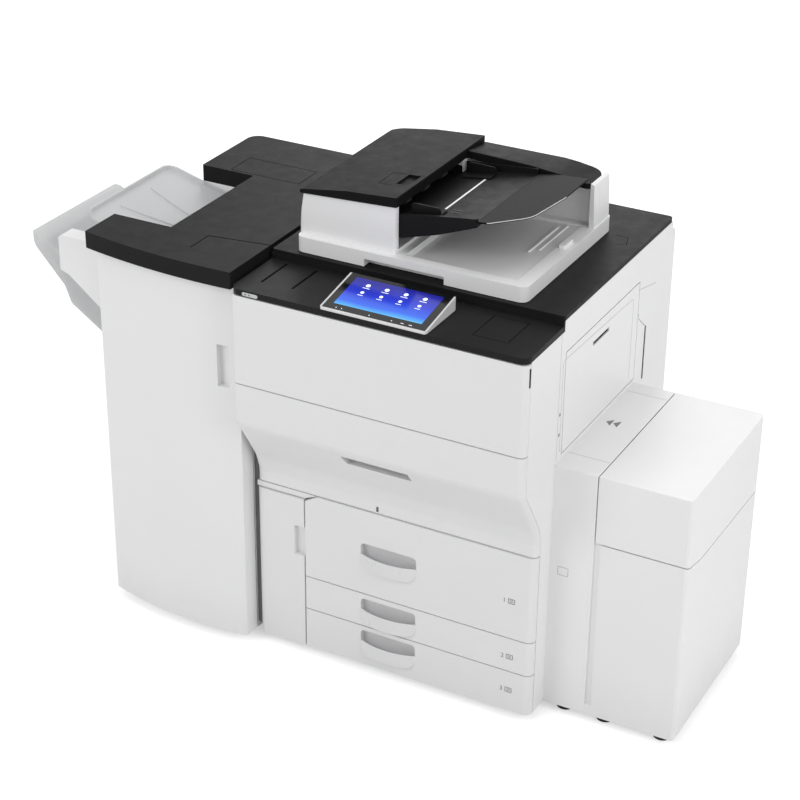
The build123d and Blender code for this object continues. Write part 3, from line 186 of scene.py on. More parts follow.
# %% Floor
paper, tree, out = blank("white_paper_sweep")
matt = add(tree, "ShaderNodeBsdfDiffuse", {"Color": tint("#EBEBEB"), "Roughness": 0.5})
lift = add(tree, "ShaderNodeEmission", {"Color": tint("#FFFFFF"), "Strength": 0.42})
lifted = add(tree, "ShaderNodeAddShader", {0: matt.outputs[0], 1: lift.outputs[0]})
floor_mix = add(tree, "ShaderNodeMixShader", {0: seen(tree), 1: matt.outputs[0],
                                              2: lifted.outputs[0]})
tree.links.new(floor_mix.outputs[0], out.inputs["Surface"])
FLOOR_R, FLOOR_Z = 40, -0.0005
ring = [Vector((FLOOR_R * math.cos(a), FLOOR_R * math.sin(a), FLOOR_Z))
        for a in (2 * math.pi * i / 64 for i in range(64))]
mesh = bpy.data.meshes.new("floor")
mesh.from_pydata(ring, [], [list(range(64))])
floor = bpy.data.objects.new("floor", mesh)
bpy.context.scene.collection.objects.link(floor)
floor.data.materials.append(paper)


# %% Lamps
def lamp(name, place, target, watts, size):
    """A large square lamp that points at a target."""
    data = bpy.data.lights.new(name, "AREA")
    data.energy = watts
    data.size = size
    lit = bpy.data.objects.new(name, data)
    bpy.context.scene.collection.objects.link(lit)
    lit.location = place
    lit.rotation_mode = "QUATERNION"
    lit.rotation_quaternion = (Vector(target) - Vector(place)).to_track_quat("-Z", "Y")
    lit.visible_camera = False
    print("lamp", name, watts, "W")


middle = (cad_box[0] + cad_box[1]) / 2
lamp("key", middle + Vector((-2.4, -4.4, 3.0)), middle, 72, 2.6)
lamp("right", middle + Vector((4.6, -1.6, 2.2)), middle, 66, 2.6)
lamp("top", middle + Vector((-0.3, 0.2, 4.4)), middle, 42, 3.2)
lamp("rear", middle + Vector((-1.6, 4.6, 2.2)), middle, 50, 2.6)

# %% [markdown]
# ## White moulded ABS
#
# The covers are injection-moulded ABS, off-white, from spark-eroded moulds. That leaves a fine
# even grain of about half a millimetre, which breaks up reflections into a soft sheen. Here the
# grain is drawn at 1.2 mm, because the real one is too fine to show. Handling polishes the edges a
# little, the colour drifts by a percent or two across a large panel, and it darkens low down.


# %% Moulded covers
def moulded_abs(name, tone, drift_tone, edge_tone, grain_mm, relief_mm, roughness, near_floor_dark=0.0,
                gloss=0.5):
    """Textured moulded ABS with slow colour drift, polished edges and darkening near the floor."""
    material, tree, out = blank(name)
    place = add(tree, "ShaderNodeTexCoord").outputs["Object"]
    drift = add(tree, "ShaderNodeTexNoise", {"Vector": place, "Scale": per_mm(280), "Detail": 3.0})
    base = add(tree, "ShaderNodeMix", {0: drift.outputs[0], 6: tint(tone), 7: tint(drift_tone)},
               data_type="RGBA")
    rubbed = add(tree, "ShaderNodeTexNoise", {"Vector": place, "Scale": per_mm(35), "Detail": 6.0,
                                              "Roughness": 0.7})
    shape = add(tree, "ShaderNodeNewGeometry")
    corner = add(tree, "ShaderNodeMapRange", {0: shape.outputs["Pointiness"], 1: 0.52, 2: 0.62,
                                              3: 0.0, 4: 0.55})
    worn = add(tree, "ShaderNodeMath", {0: corner.outputs[0], 1: rubbed.outputs[0]},
               operation="MULTIPLY")
    edged = add(tree, "ShaderNodeMix", {0: worn.outputs[0], 6: base.outputs[2], 7: tint(edge_tone)},
                data_type="RGBA")
    height = add(tree, "ShaderNodeSeparateXYZ", {0: place})
    # Towards the floor the colour is mixed a little with a warm grey, in patches.
    low = add(tree, "ShaderNodeMapRange", {0: height.outputs[2], 1: 0.16, 2: 0.02, 3: 0.0,
                                           4: near_floor_dark})
    near_floor_mask = add(tree, "ShaderNodeMath", {0: low.outputs[0], 1: rubbed.outputs[0]},
               operation="MULTIPLY")
    colour = add(tree, "ShaderNodeMix", {0: near_floor_mask.outputs[0], 6: edged.outputs[2],
                                         7: tint("#9C9890")}, data_type="RGBA")
    sheen = add(tree, "ShaderNodeMapRange", {0: rubbed.outputs[0], 1: 0.3, 2: 0.7,
                                             3: roughness - 0.05, 4: roughness + 0.07})
    grain = add(tree, "ShaderNodeTexNoise", {"Vector": place, "Scale": per_mm(grain_mm),
                                             "Detail": 2.0})
    relief = add(tree, "ShaderNodeBump", {"Height": grain.outputs[0], "Strength": 0.55,
                                          "Distance": relief_mm * MM})
    shader = add(tree, "ShaderNodeBsdfPrincipled",
                 {"Base Color": colour.outputs[2], "Roughness": sheen.outputs[0], "IOR": 1.53,
                  "Specular IOR Level": gloss, "Normal": relief.outputs[0]})
    tree.links.new(shader.outputs[0], out.inputs["Surface"])
    return material


white_abs = moulded_abs("white_moulded_ABS", "#EDEDEE", "#E9E9E9", "#F3F3F2", 1.2, 0.05, 0.42, 0.15)
front_abs = moulded_abs("white_front_ABS", "#E8E8E9", "#E4E4E4", "#F0F0EF", 1.2, 0.05, 0.40, 0.12)
black_abs = moulded_abs("charcoal_moulded_ABS", "#1C1C1D", "#1A1A1B", "#2A2A2A", 1.4, 0.08, 0.52,
                        gloss=0.08)
feeder_abs = moulded_abs("charcoal_feeder_ABS", "#161617", "#141415", "#242424", 1.4, 0.08, 0.52,
                         gloss=0.05)
shelf_abs = moulded_abs("black_shelf_ABS", "#1A1A1B", "#171718", "#2A2A2B", 1.4, 0.08, 0.50,
                        gloss=0.12)
dark_abs = moulded_abs("black_inner_ABS", "#161617", "#131314", "#242424", 1.4, 0.08, 0.50,
                       gloss=0.08)
# Near-black that paints the shade in the shelf's grooves; the deck hatch's seam line uses it too.
groove_shade_and_seam_black = moulded_abs("black_groove_shade_and_seam_ABS", "#050505", "#040404", "#080808", 1.4, 0.02, 0.80,
                           gloss=0.02)
grip_abs = moulded_abs("smooth_grip_ABS", "#E2E2E3", "#DEDEDF", "#EDEDED", 0.8, 0.02, 0.30)
rim_abs = moulded_abs("pale_panel_ABS", "#D9D9DA", "#D4D4D5", "#E6E6E6", 0.8, 0.02, 0.32)
# A mid grey that paints the shade deep in the lower cover's pull slot.
slot_shade_abs = moulded_abs("grey_slot_shade_ABS", "#767677", "#717172", "#828283", 0.8, 0.02, 0.45)
toner_pp = moulded_abs("grey_polypropylene", "#5A5B5E", "#545558", "#6C6D70", 1.6, 0.06, 0.45)
foot_nylon = moulded_abs("black_nylon", "#202021", "#1C1C1D", "#303031", 1.6, 0.06, 0.55,
                         gloss=0.2)
print("moulded plastics ready")

# %% [markdown]
# ## Steel, rubber and glass
#
# The chassis and the paper boxes are zinc-plated sheet: rolled, so its faint streaks run one way,
# with a dull crystalline bloom. The rollers are ground silicone rubber, nearly black, with a fine
# tooth that holds paper. The platen is float glass, whose edge is faintly green. The output trays
# are a pale frosted plastic that lets some light through, and the feeder's extension is a smoky
# one that shows what lies under it.


# %% Steel and rubber
def plated_steel(name, tone, bloom_tone, roughness):
    """Zinc-plated sheet steel, with rolling streaks and a mottled bloom."""
    material, tree, out = blank(name)
    place = add(tree, "ShaderNodeTexCoord").outputs["Object"]
    bloom = add(tree, "ShaderNodeTexVoronoi", {"Vector": place, "Scale": per_mm(14),
                                               "Randomness": 1.0})
    colour = add(tree, "ShaderNodeMix", {0: bloom.outputs[0], 6: tint(tone), 7: tint(bloom_tone)},
                 data_type="RGBA")
    drawn = add(tree, "ShaderNodeMapping", {"Vector": place, "Scale": (1.0, 14.0, 14.0)})
    streak = add(tree, "ShaderNodeTexNoise", {"Vector": drawn.outputs[0], "Scale": per_mm(60),
                                              "Detail": 5.0})
    rough = add(tree, "ShaderNodeMapRange", {0: streak.outputs[0], 1: 0.3, 2: 0.7,
                                             3: roughness - 0.1, 4: roughness + 0.1})
    relief = add(tree, "ShaderNodeBump", {"Height": streak.outputs[0], "Strength": 0.3,
                                          "Distance": 0.05 * MM})
    shader = add(tree, "ShaderNodeBsdfPrincipled",
                 {"Base Color": colour.outputs[2], "Metallic": 0.9, "Roughness": rough.outputs[0],
                  "Normal": relief.outputs[0]})
    tree.links.new(shader.outputs[0], out.inputs["Surface"])
    return material


zinc_steel = plated_steel("zinc_plated_steel", "#B9BCBE", "#A9ACAF", 0.38)
box_steel = plated_steel("paper_box_steel", "#C6C8CA", "#BCBEC0", 0.32)

rubber, tree, out = blank("silicone_rubber")
place = add(tree, "ShaderNodeTexCoord").outputs["Object"]
tooth = add(tree, "ShaderNodeTexNoise", {"Vector": place, "Scale": per_mm(1.5), "Detail": 4.0})
chalk = add(tree, "ShaderNodeMix", {0: tooth.outputs[0], 6: tint("#262627"), 7: tint("#353536")},
            data_type="RGBA")
relief = add(tree, "ShaderNodeBump", {"Height": tooth.outputs[0], "Strength": 0.6,
                                      "Distance": 0.15 * MM})
shader = add(tree, "ShaderNodeBsdfPrincipled",
             {"Base Color": chalk.outputs[2], "Roughness": 0.72, "IOR": 1.41,
              "Normal": relief.outputs[0]})
tree.links.new(shader.outputs[0], out.inputs["Surface"])

# %% Float glass over the scanner
float_glass, tree, out = blank("float_glass")
place = add(tree, "ShaderNodeTexCoord").outputs["Object"]
smear = add(tree, "ShaderNodeTexNoise", {"Vector": place, "Scale": per_mm(45), "Detail": 5.0})
rough = add(tree, "ShaderNodeMapRange", {0: smear.outputs[0], 1: 0.35, 2: 0.75, 3: 0.02, 4: 0.14})
shader = add(tree, "ShaderNodeBsdfPrincipled",
             {"Base Color": tint("#DDEFE8"), "Roughness": rough.outputs[0], "IOR": 1.52,
              "Transmission Weight": 0.92})
tree.links.new(shader.outputs[0], out.inputs["Surface"])


# %% Frosted and smoky trays
def lit_through(name, tone, drift_tone, through_tone, share, roughness, clear, gloss):
    """Plastic that scatters light through its thickness, and may show what is behind it."""
    material, tree, out = blank(name)
    place = add(tree, "ShaderNodeTexCoord").outputs["Object"]
    cloud = add(tree, "ShaderNodeTexNoise", {"Vector": place, "Scale": per_mm(90), "Detail": 4.0})
    colour = add(tree, "ShaderNodeMix", {0: cloud.outputs[0], 6: tint(tone), 7: tint(drift_tone)},
                 data_type="RGBA")
    frost = add(tree, "ShaderNodeTexNoise", {"Vector": place, "Scale": per_mm(1.6), "Detail": 2.0})
    relief = add(tree, "ShaderNodeBump", {"Height": frost.outputs[0], "Strength": 0.4,
                                          "Distance": 0.05 * MM})
    skin = add(tree, "ShaderNodeBsdfPrincipled",
               {"Base Color": colour.outputs[2], "Roughness": roughness, "IOR": 1.53,
                "Specular IOR Level": gloss, "Normal": relief.outputs[0]})
    glow = add(tree, "ShaderNodeBsdfTranslucent", {"Color": tint(through_tone)})
    mixed = add(tree, "ShaderNodeMixShader", {0: share, 1: skin.outputs[0], 2: glow.outputs[0]})
    gap = add(tree, "ShaderNodeBsdfTransparent", {"Color": tint(through_tone)})
    mixed = add(tree, "ShaderNodeMixShader", {0: clear, 1: mixed.outputs[0], 2: gap.outputs[0]})
    tree.links.new(mixed.outputs[0], out.inputs["Surface"])
    return material


frosted_tray = lit_through("frosted_polystyrene", "#D6D7D8", "#D0D1D2", "#F5F5F5", 0.35, 0.35, 0.08,
                           0.4)
smoky_sheet = lit_through("smoky_polycarbonate", "#0C0C0D", "#0A0A0B", "#4A4A4C", 0.04, 0.36, 0.24,
                          0.03)

# %% [markdown]
# ## The touch panel's glass
#
# The panel is one sheet of black-printed glass, with the display behind its clear window. A thin
# sheet laid on the window carries the picture: a plain blue sky that lightens towards its lower
# edge, as such a machine shows at rest. It gives off its own light, under a clear glossy coat.

# %% Panel glass and display
black_glass, tree, out = blank("black_printed_glass")
place = add(tree, "ShaderNodeTexCoord").outputs["Object"]
touch = add(tree, "ShaderNodeTexNoise", {"Vector": place, "Scale": per_mm(22), "Detail": 6.0})
rough = add(tree, "ShaderNodeMapRange", {0: touch.outputs[0], 1: 0.4, 2: 0.8, 3: 0.06, 4: 0.22})
shader = add(tree, "ShaderNodeBsdfPrincipled",
             {"Base Color": tint("#101113"), "Roughness": rough.outputs[0], "IOR": 1.5})
tree.links.new(shader.outputs[0], out.inputs["Surface"])

glass_low, glass_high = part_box("touch_screen")
blue_display, tree, out = blank("blue_display")
place = add(tree, "ShaderNodeTexCoord").outputs["Object"]
axes = add(tree, "ShaderNodeSeparateXYZ", {0: place})
depth = add(tree, "ShaderNodeMapRange", {0: axes.outputs[1], 1: glass_low[1], 2: glass_high[1]})
wave = add(tree, "ShaderNodeTexNoise", {"Vector": place, "Scale": per_mm(120), "Detail": 1.0})
bend = add(tree, "ShaderNodeMath", {0: wave.outputs[0], 1: 0.16, 2: depth.outputs[0]},
           operation="MULTIPLY_ADD")
ramp = add(tree, "ShaderNodeValToRGB", {0: bend.outputs[0]})
stops = ramp.color_ramp.elements
stops[0].position, stops[0].color = 0.16, tint("#BFF3F4")
stops[1].position, stops[1].color = 0.95, tint("#23249A")
for position, code in ((0.24, "#4FB4F5"), (0.36, "#2F6BF2"), (0.60, "#2E3FD6")):
    stops.new(position).color = tint(code)
shader = add(tree, "ShaderNodeBsdfPrincipled",
             {"Base Color": tint("#05060A"), "Roughness": 0.1, "IOR": 1.5,
              "Emission Color": ramp.outputs[0], "Emission Strength": 1.0})
tree.links.new(shader.outputs[0], out.inputs["Surface"])


# %% [markdown]
# ## Small prints, lenses and marks
#
# Numbers and icons are pad-printed in grey ink, thin enough that only their colour shows. The
# status lens is clear plastic over a lamp, and the joints between panels are shadow gaps.


# %% Inks and lenses
def ink(name, tone, other_tone, roughness=0.5, glow=0.0):
    """A thin print, lens or gap with a slight mottle in its colour."""
    material, tree, out = blank(name)
    place = add(tree, "ShaderNodeTexCoord").outputs["Object"]
    mottle = add(tree, "ShaderNodeTexNoise", {"Vector": place, "Scale": per_mm(6), "Detail": 3.0})
    colour = add(tree, "ShaderNodeMix", {0: mottle.outputs[0], 6: tint(tone), 7: tint(other_tone)},
                 data_type="RGBA")
    shader = add(tree, "ShaderNodeBsdfPrincipled",
                 {"Base Color": colour.outputs[2], "Roughness": roughness, "IOR": 1.5,
                  "Emission Color": tint(tone), "Emission Strength": glow})
    tree.links.new(shader.outputs[0], out.inputs["Surface"])
    return material


grey_ink = ink("grey_pad_print", "#5B5B5D", "#666668")
gap_grey = ink("shadow_gap", "#7C7C7F", "#868689", 0.8)
faint_grey = ink("faint_shadow_gap", "#B2B2B4", "#BABABC", 0.8)
# A mid grey that paints the shade in the gap between the finisher and the main unit.
gap_shade_grey = ink("grey_cabinet_gap_shade", "#6E6E70", "#666668", 0.6)
# Clear grey for the status lens; it also paints the highlight along the smoky sheet's edge.
lens_and_highlight_clear = ink("status_lens", "#C9CBCC", "#BDBFC0", 0.15)
icon_white = ink("display_icons", "#DDE9FF", "#FFFFFF", 0.2, 0.75)
pale_strip = ink("white_guide_film", "#E4E4E4", "#D6D6D6", 0.35)
pad_white = ink("white_pressing_sheet", "#EEEEEE", "#E6E6E6", 0.6)
toner_caps = [ink("cap_" + word, a, b, 0.4) for word, a, b in (
    ("cyan", "#1492C4", "#1B88B6"), ("magenta", "#C0267A", "#B22A72"),
    ("yellow", "#E6C81E", "#D9BC20"), ("black", "#232324", "#2C2C2D"))]

# %% [markdown]
# ## Finishes on the CAD parts
#
# Each CAD node takes the finish of the real piece. A moulded or folded part has no sharp edge, so
# each also gets a small round on its edges: the mesh's doubled points are joined first, then a
# bevel runs along the sharp edges, and the big flat faces keep their flat shading.

# %% Finishes by node
finishes = {
    white_abs: ["left_cover", "right_cover", "rear_cover", "right_side_door", "feeder_base",
                "feeder_tower", "finisher_cabinet", "finisher_door", "tray_guard",
                "coupling_unit", "paper_unit_cabinet", "paper_unit_cap"],
    front_abs: ["corner_tab", "upper_front_cover", "lower_front_cover", "left_front_door",
                "tray_1_front", "tray_2_front", "tray_3_front"],
    black_abs: ["scanner_housing", "finisher_top"],
    feeder_abs: ["feeder_ridge", "feed_cover"],
    shelf_abs: ["shelf_cover"],
    dark_abs: ["input_tray", "front_fence", "rear_fence", "power_inlet", "scan_carriage",
               "panel_mount", "bridge_cover"],
    grip_abs: ["tray_1_grip", "tray_2_grip", "tray_3_grip"],
    rim_abs: ["control_panel"],
    toner_pp: ["toner_bottles"],
    foot_nylon: ["main_feet", "finisher_feet", "paper_unit_feet"],
    zinc_steel: ["main_frame", "fuser_unit", "stapler_unit", "feeder_hinges"],
    box_steel: ["tray_1_box", "tray_2_box", "tray_3_box", "tray_2_lift_plate",
                "tray_3_lift_plate", "paper_lift"],
    rubber: ["feed_rollers", "upper_exit_roller", "lower_exit_roller", "drum_units",
             "transfer_belt_unit"],
    float_glass: ["platen_glass"],
    frosted_tray: ["upper_tray", "shift_tray"],
    smoky_sheet: ["tray_extension"],
    black_glass: ["touch_screen"],
    pad_white: ["platen_pad"],
}
ROUND_MM = {"tray_extension": 0.4, "touch_screen": 0.3, "platen_glass": 0.4, "platen_pad": 0.4,
            "feed_cover": 1.6, "finisher_top": 2.4, "shelf_cover": 2.2, "scanner_housing": 1.6,
            "feeder_base": 2.6, "feeder_tower": 3.0, "feeder_ridge": 2.2, "upper_tray": 0.8,
            "shift_tray": 1.2, "upper_front_cover": 1.0, "lower_front_cover": 1.0,
            "control_panel": 0.8, "paper_unit_cap": 0.9}


def soften(node, width_mm):
    """Joins doubled points, rounds sharp edges and keeps flat faces flat."""
    join = node.modifiers.new("join", "WELD")
    join.merge_threshold = 0.00002
    bevel = node.modifiers.new("round", "BEVEL")
    bevel.width = width_mm * MM
    bevel.segments = 2
    bevel.limit_method = "ANGLE"
    bevel.angle_limit = math.radians(40)
    bevel.use_clamp_overlap = True
    flat = node.modifiers.new("flat", "WEIGHTED_NORMAL")
    flat.weight = 60
    flat.keep_sharp = False


for finish, names in finishes.items():
    for name in names:
        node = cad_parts[name]
        node.data.materials.clear()
        node.data.materials.append(finish)
        soften(node, ROUND_MM.get(name, 0.8))
missed = set(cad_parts) - {name for names in finishes.values() for name in names}
print("finished nodes, left over:", missed)


# %% [markdown]
# ## Making the small parts
#
# Nearly every small part is a flat shape with some thickness, so one function sweeps an outline
# in millimetres along an axis and rounds its edges. Rolled rims and thin ribs are round bars
# along a line. Every small part is linked, finished and given its body in the same way.

# %% Flat parts
def rounded(low, high, radius, steps=6):
    """Outline of a rectangle between two corners, with rounded corners."""
    (a0, b0), (a1, b1) = low, high
    centres = [(a1 - radius, b1 - radius, 0), (a0 + radius, b1 - radius, 90),
               (a0 + radius, b0 + radius, 180), (a1 - radius, b0 + radius, 270)]
    outline = []
    for a, b, start in centres:
        for step in range(steps + 1):
            turn = math.radians(start + 90 * step / steps)
            outline.append((a + radius * math.cos(turn), b + radius * math.sin(turn)))
    return outline


def disc(a, b, radius, steps=28):
    """Outline of a circle."""
    return [(a + radius * math.cos(2 * math.pi * i / steps),
             b + radius * math.sin(2 * math.pi * i / steps)) for i in range(steps)]


def fitted(name, data, finish, body):
    """Links a drawn shape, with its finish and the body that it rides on."""
    part = bpy.data.objects.new(name, data)
    bpy.context.scene.collection.objects.link(part)
    part.data.materials.append(finish)
    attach(part, body)
    return part


def round_bar(name, points, radius_mm, finish, body, slot, **settings):
    """A thin round bar along points in the frame: settings are the curve's own options."""
    path = bpy.data.curves.new(name, "CURVE")
    path.dimensions = "3D"
    path.bevel_depth = radius_mm * MM
    for key, value in settings.items():
        setattr(path, key, value)
    course = path.splines.new("POLY")
    course.points.add(len(points) - 1)
    for spot, point in zip(course.points, points):
        spot.co = (*point, 1)
    return fitted(name, path, finish, body)


def flat_part(name, facing, outline, start, end, finish, body, edge_mm=0.3, hole=None):
    """Sweeps an outline along an axis (x, y or z), as a part that rides on a body."""
    place = {"x": lambda a, b, s: at(s, a, b), "y": lambda a, b, s: at(a, s, b),
             "z": lambda a, b, s: at(a, b, s)}[facing]
    shape = bmesh.new()
    lower = [shape.verts.new(place(a, b, start)) for a, b in outline]
    upper = [shape.verts.new(place(a, b, end)) for a, b in outline]
    count = len(outline)
    if hole:
        inner_low = [shape.verts.new(place(a, b, start)) for a, b in hole]
        inner_up = [shape.verts.new(place(a, b, end)) for a, b in hole]
        for i in range(count):
            j = (i + 1) % count
            shape.faces.new((lower[i], lower[j], inner_low[j], inner_low[i]))
            shape.faces.new((upper[i], inner_up[i], inner_up[j], upper[j]))
            shape.faces.new((inner_low[i], inner_low[j], inner_up[j], inner_up[i]))
    else:
        shape.faces.new(lower)
        shape.faces.new(list(reversed(upper)))
    for i in range(count):
        j = (i + 1) % count
        shape.faces.new((lower[i], upper[i], upper[j], lower[j]))
    bmesh.ops.recalc_face_normals(shape, faces=shape.faces)
    mesh = bpy.data.meshes.new(name)
    shape.to_mesh(mesh)
    shape.free()
    part = fitted(name, mesh, finish, body)
    if edge_mm:
        bevel = part.modifiers.new("round", "BEVEL")
        bevel.width = edge_mm * MM
        bevel.segments = 2
        bevel.limit_method = "ANGLE"
        bevel.angle_limit = math.radians(40)
    return part


print("flat part helper ready")

# %% [markdown]
# ## The touch display
#
# The panel slopes up to the rear, so the display and its icons are drawn flat and then laid on
# the slope: a point keeps its place across the panel and takes its height from the glass.


# %% Display and icons
glass = span("touch_screen")
GLASS_T = 2.0
SLOPE = (glass[1].z - glass[0].z - GLASS_T) / (glass[1].y - glass[0].y)


def lay_on_glass(name, outlines, lift_mm, finish):
    """Thin shapes that lie on the panel's sloping glass."""
    shape = bmesh.new()
    for outline in outlines:
        rings = []
        for lift in (0.0, lift_mm):
            rings.append([shape.verts.new(at(x, y, glass[0].z + GLASS_T + lift
                                             + SLOPE * (y - glass[0].y))) for x, y in outline])
        shape.faces.new(rings[0])
        shape.faces.new(list(reversed(rings[1])))
        for i in range(len(outline)):
            j = (i + 1) % len(outline)
            shape.faces.new((rings[0][i], rings[1][i], rings[1][j], rings[0][j]))
    bmesh.ops.recalc_face_normals(shape, faces=shape.faces)
    mesh = bpy.data.meshes.new(name)
    shape.to_mesh(mesh)
    shape.free()
    return fitted(name, mesh, finish, "panel")


left, far = glass[0].x, glass[1].x
front, rear = glass[0].y, glass[1].y
SIDE_IN, FRONT_IN, REAR_IN = 19, 21, 12
view_low, view_high = (left + SIDE_IN, front + FRONT_IN), (far - SIDE_IN, rear - REAR_IN)
lay_on_glass("display", [rounded(view_low, view_high, 1.5)], 0.12, blue_display)
COLUMNS_WIDE, FIRST_COLUMN = 4.6, 0.85
pitch = (view_high[0] - view_low[0]) / COLUMNS_WIDE
icons, captions = [], []
for row, y in enumerate((view_high[1] - 22, view_high[1] - 50)):
    for column in range(4):
        x = view_low[0] + pitch * (FIRST_COLUMN + column)
        icons.append(disc(x, y, 5.4 - row, 20))
        captions.append(rounded((x - 9 + 2 * row, y - 11.5), (x + 9 - 2 * row, y - 9.8), 0.8, 3))
lay_on_glass("display_icons", icons, 0.25, icon_white)
lay_on_glass("display_captions", captions, 0.2, icon_white)
marks = [disc(view_low[0] + 14 * k, front + 8, 1.3, 12) for k in (1, 2, 7, 11)]
marks += [rounded((x - 4, front + 7), (x + 4, front + 8.4), 0.6, 3)
          for x in (far - 60, far - 40)]
lay_on_glass("panel_marks", marks, 0.1, icon_white)

# %% [markdown]
# ## Marks on the main unit's front
#
# Each paper tray carries its number and a small sheet icon, printed near its right end.

# %% Tray numbers
def number_mark(digit, x, y, z, size_mm, body):
    """A printed digit on a face that looks to the front."""
    curve = bpy.data.curves.new("digit_" + digit, "FONT")
    curve.body = digit
    curve.size = size_mm * MM
    curve.extrude = 0.08 * MM
    drawn = bpy.data.objects.new("digit_" + digit, curve)
    mesh = bpy.data.meshes.new_from_object(drawn)
    mesh.transform(Matrix.Translation(at(x, y, z)) @ Matrix.Rotation(math.radians(90), 4, "X"))
    fitted("tray_number_" + digit, mesh, grey_ink, body)


NUMBER_IN, ICON_IN, ICON_W = 80, 66, 18
MARK_PROUD, MARK_SUNK = 0.12, 0.2
for digit, middle_z in (("1", 334), ("2", 178), ("3", 83)):
    low, high = span(f"tray_{digit}_front")
    face = low.y
    number_mark(digit, high.x - NUMBER_IN, face - 0.05, middle_z - 6, 17, f"tray_{digit}")
    x0, x1 = high.x - ICON_IN, high.x - ICON_IN + ICON_W
    flat_part(f"tray_icon_{digit}", "y", rounded((x0, middle_z - 7), (x1, middle_z + 7), 2),
              face - MARK_PROUD, face + MARK_SUNK, grey_ink, f"tray_{digit}", 0,
              hole=rounded((x0 + 1.6, middle_z - 5.4), (x1 - 1.6, middle_z + 5.4), 1))
    for line in range(3):
        z = middle_z - 3 + 3 * line
        flat_part(f"tray_icon_line_{digit}_{line}", "y",
                  rounded((x0 + 4, z - 0.6), (x1 - 4, z + 0.6), 0.5, 3), face - MARK_PROUD,
                  face + MARK_SUNK, grey_ink, f"tray_{digit}", 0)

# %% [markdown]
# ## Rims of the grips
#
# Each tray is pulled by a scoop whose bowed lip ends in a rolled rim, kind to the fingers.

# %% Rolled rims of the scoop grips
LIP_MM, RIM_R, RIM_STEPS = 36.0, 1.9, 24
for digit in "123":
    low, high = span(f"tray_{digit}_grip")
    face = span(f"tray_{digit}_front")[0].y
    half, bulge = (high.x - low.x) / 2, face - low.y
    bow = (half ** 2 + bulge ** 2) / (2 * bulge)
    centre = Vector(((low.x + high.x) / 2, low.y + bow))
    arc = []
    for step in range(RIM_STEPS + 1):
        x = (step / RIM_STEPS * 2 - 1) * (half - 4)
        y = centre.y - math.sqrt((bow - RIM_R) ** 2 - x ** 2)
        arc.append(at(centre.x + x, y, low.z + LIP_MM - 0.6))
    round_bar(f"grip_rim_{digit}", arc, RIM_R, grip_abs, f"tray_{digit}", "white_covers",
              bevel_resolution=3, use_fill_caps=True)

# %% [markdown]
# ## Lens, latch and level window
#
# A status lens sits in the shelf's lip at the left, and a slim latch tongue shows at the upper
# cover's right edge. A narrow window in the lower cover tells how full a tray is.

# %% Lens, latch and level window
lip = span("shelf_cover")
flat_part("status_lens", "y", rounded((lip[0].x + 33, 1006.5), (lip[0].x + 74, 1015.5), 4),
          lip[0].y - 0.9, lip[0].y + 1, lens_and_highlight_clear, "chassis", 0.5)
for k, dx in enumerate((42, 52)):
    flat_part(f"status_symbol_{k}", "y", disc(lip[0].x + dx, 1011, 2.0, 16), lip[0].y - 1.1,
              lip[0].y - 0.6, grey_ink, "chassis", 0)
cover = span("upper_front_cover")
flat_part("cover_latch", "x", rounded((cover[0].y + 12, 946), (cover[0].y + 17, 993), 2),
          cover[1].x - 0.5, cover[1].x + 1.2, dark_abs, "upper_front_cover", 0.4)
flat_part("level_window", "y", rounded((331, 470), (337, 484), 2), 95.2, 96.4, grey_ink,
          "lower_front_cover", 0.2)
print("front marks placed")

# %% [markdown]
# ## Shelf grooves and the pull slot
#
# Two shallow grooves cross the shelf from front to back; near-black strips on its top are painted
# shade in them. The lower cover is pulled by a long slot, whose back is painted a darker grey as
# the shade deep in the slot.

# %% Painted shade in the shelf's grooves and at the pull slot's back
# Painted shade: near-black strips on the shelf's top stand for the shade in its grooves.
for k, (x, y) in enumerate(((49, 58), (129, 61))):
    flat_part(f"shelf_groove_{k}", "z", rounded((x - 2.8, y), (x + 2.8, 173), 1.5), lip[1].z - 1,
              lip[1].z + 0.1, groove_shade_and_seam_black, "chassis", 0)
# Painted shade: a grey plate at the back of the pull slot stands for the shade inside it.
flat_part("pull_slot_back", "y", [(283, 623), (457, 623), (453, 647), (279, 647)], 58.2, 58.9,
          slot_shade_abs, "lower_front_cover", 0)

# %% [markdown]
# ## The right side
#
# The side cover is made of panels that meet in thin shadow gaps, and the paper door has a seam
# round its frame and a black hand slot. A narrow exhaust slot near the rear is lined in black,
# the hinge caps show as two short marks, and a seam on the deck outlines a small hatch.

# %% Right side
side = span("right_cover")
face = side[1].x
door_low = span("right_side_door")[0]
LINE_MM = 1.5


def seam(name, facing, points, level, body, finish=faint_grey):
    """A shadow gap: a thin line along points on a face whose level is given."""
    half = LINE_MM / 2
    ahead, behind = [], []
    for i, (a, b) in enumerate(points):
        before, after = points[max(i - 1, 0)], points[min(i + 1, len(points) - 1)]
        step = Vector((after[0] - before[0], after[1] - before[1])).normalized()
        ahead.append((a - step.y * half, b + step.x * half))
        behind.append((a + step.y * half, b - step.x * half))
    return flat_part(name, facing, ahead + behind[::-1], level - 0.15, level + 0.15, finish,
                     body, 0)


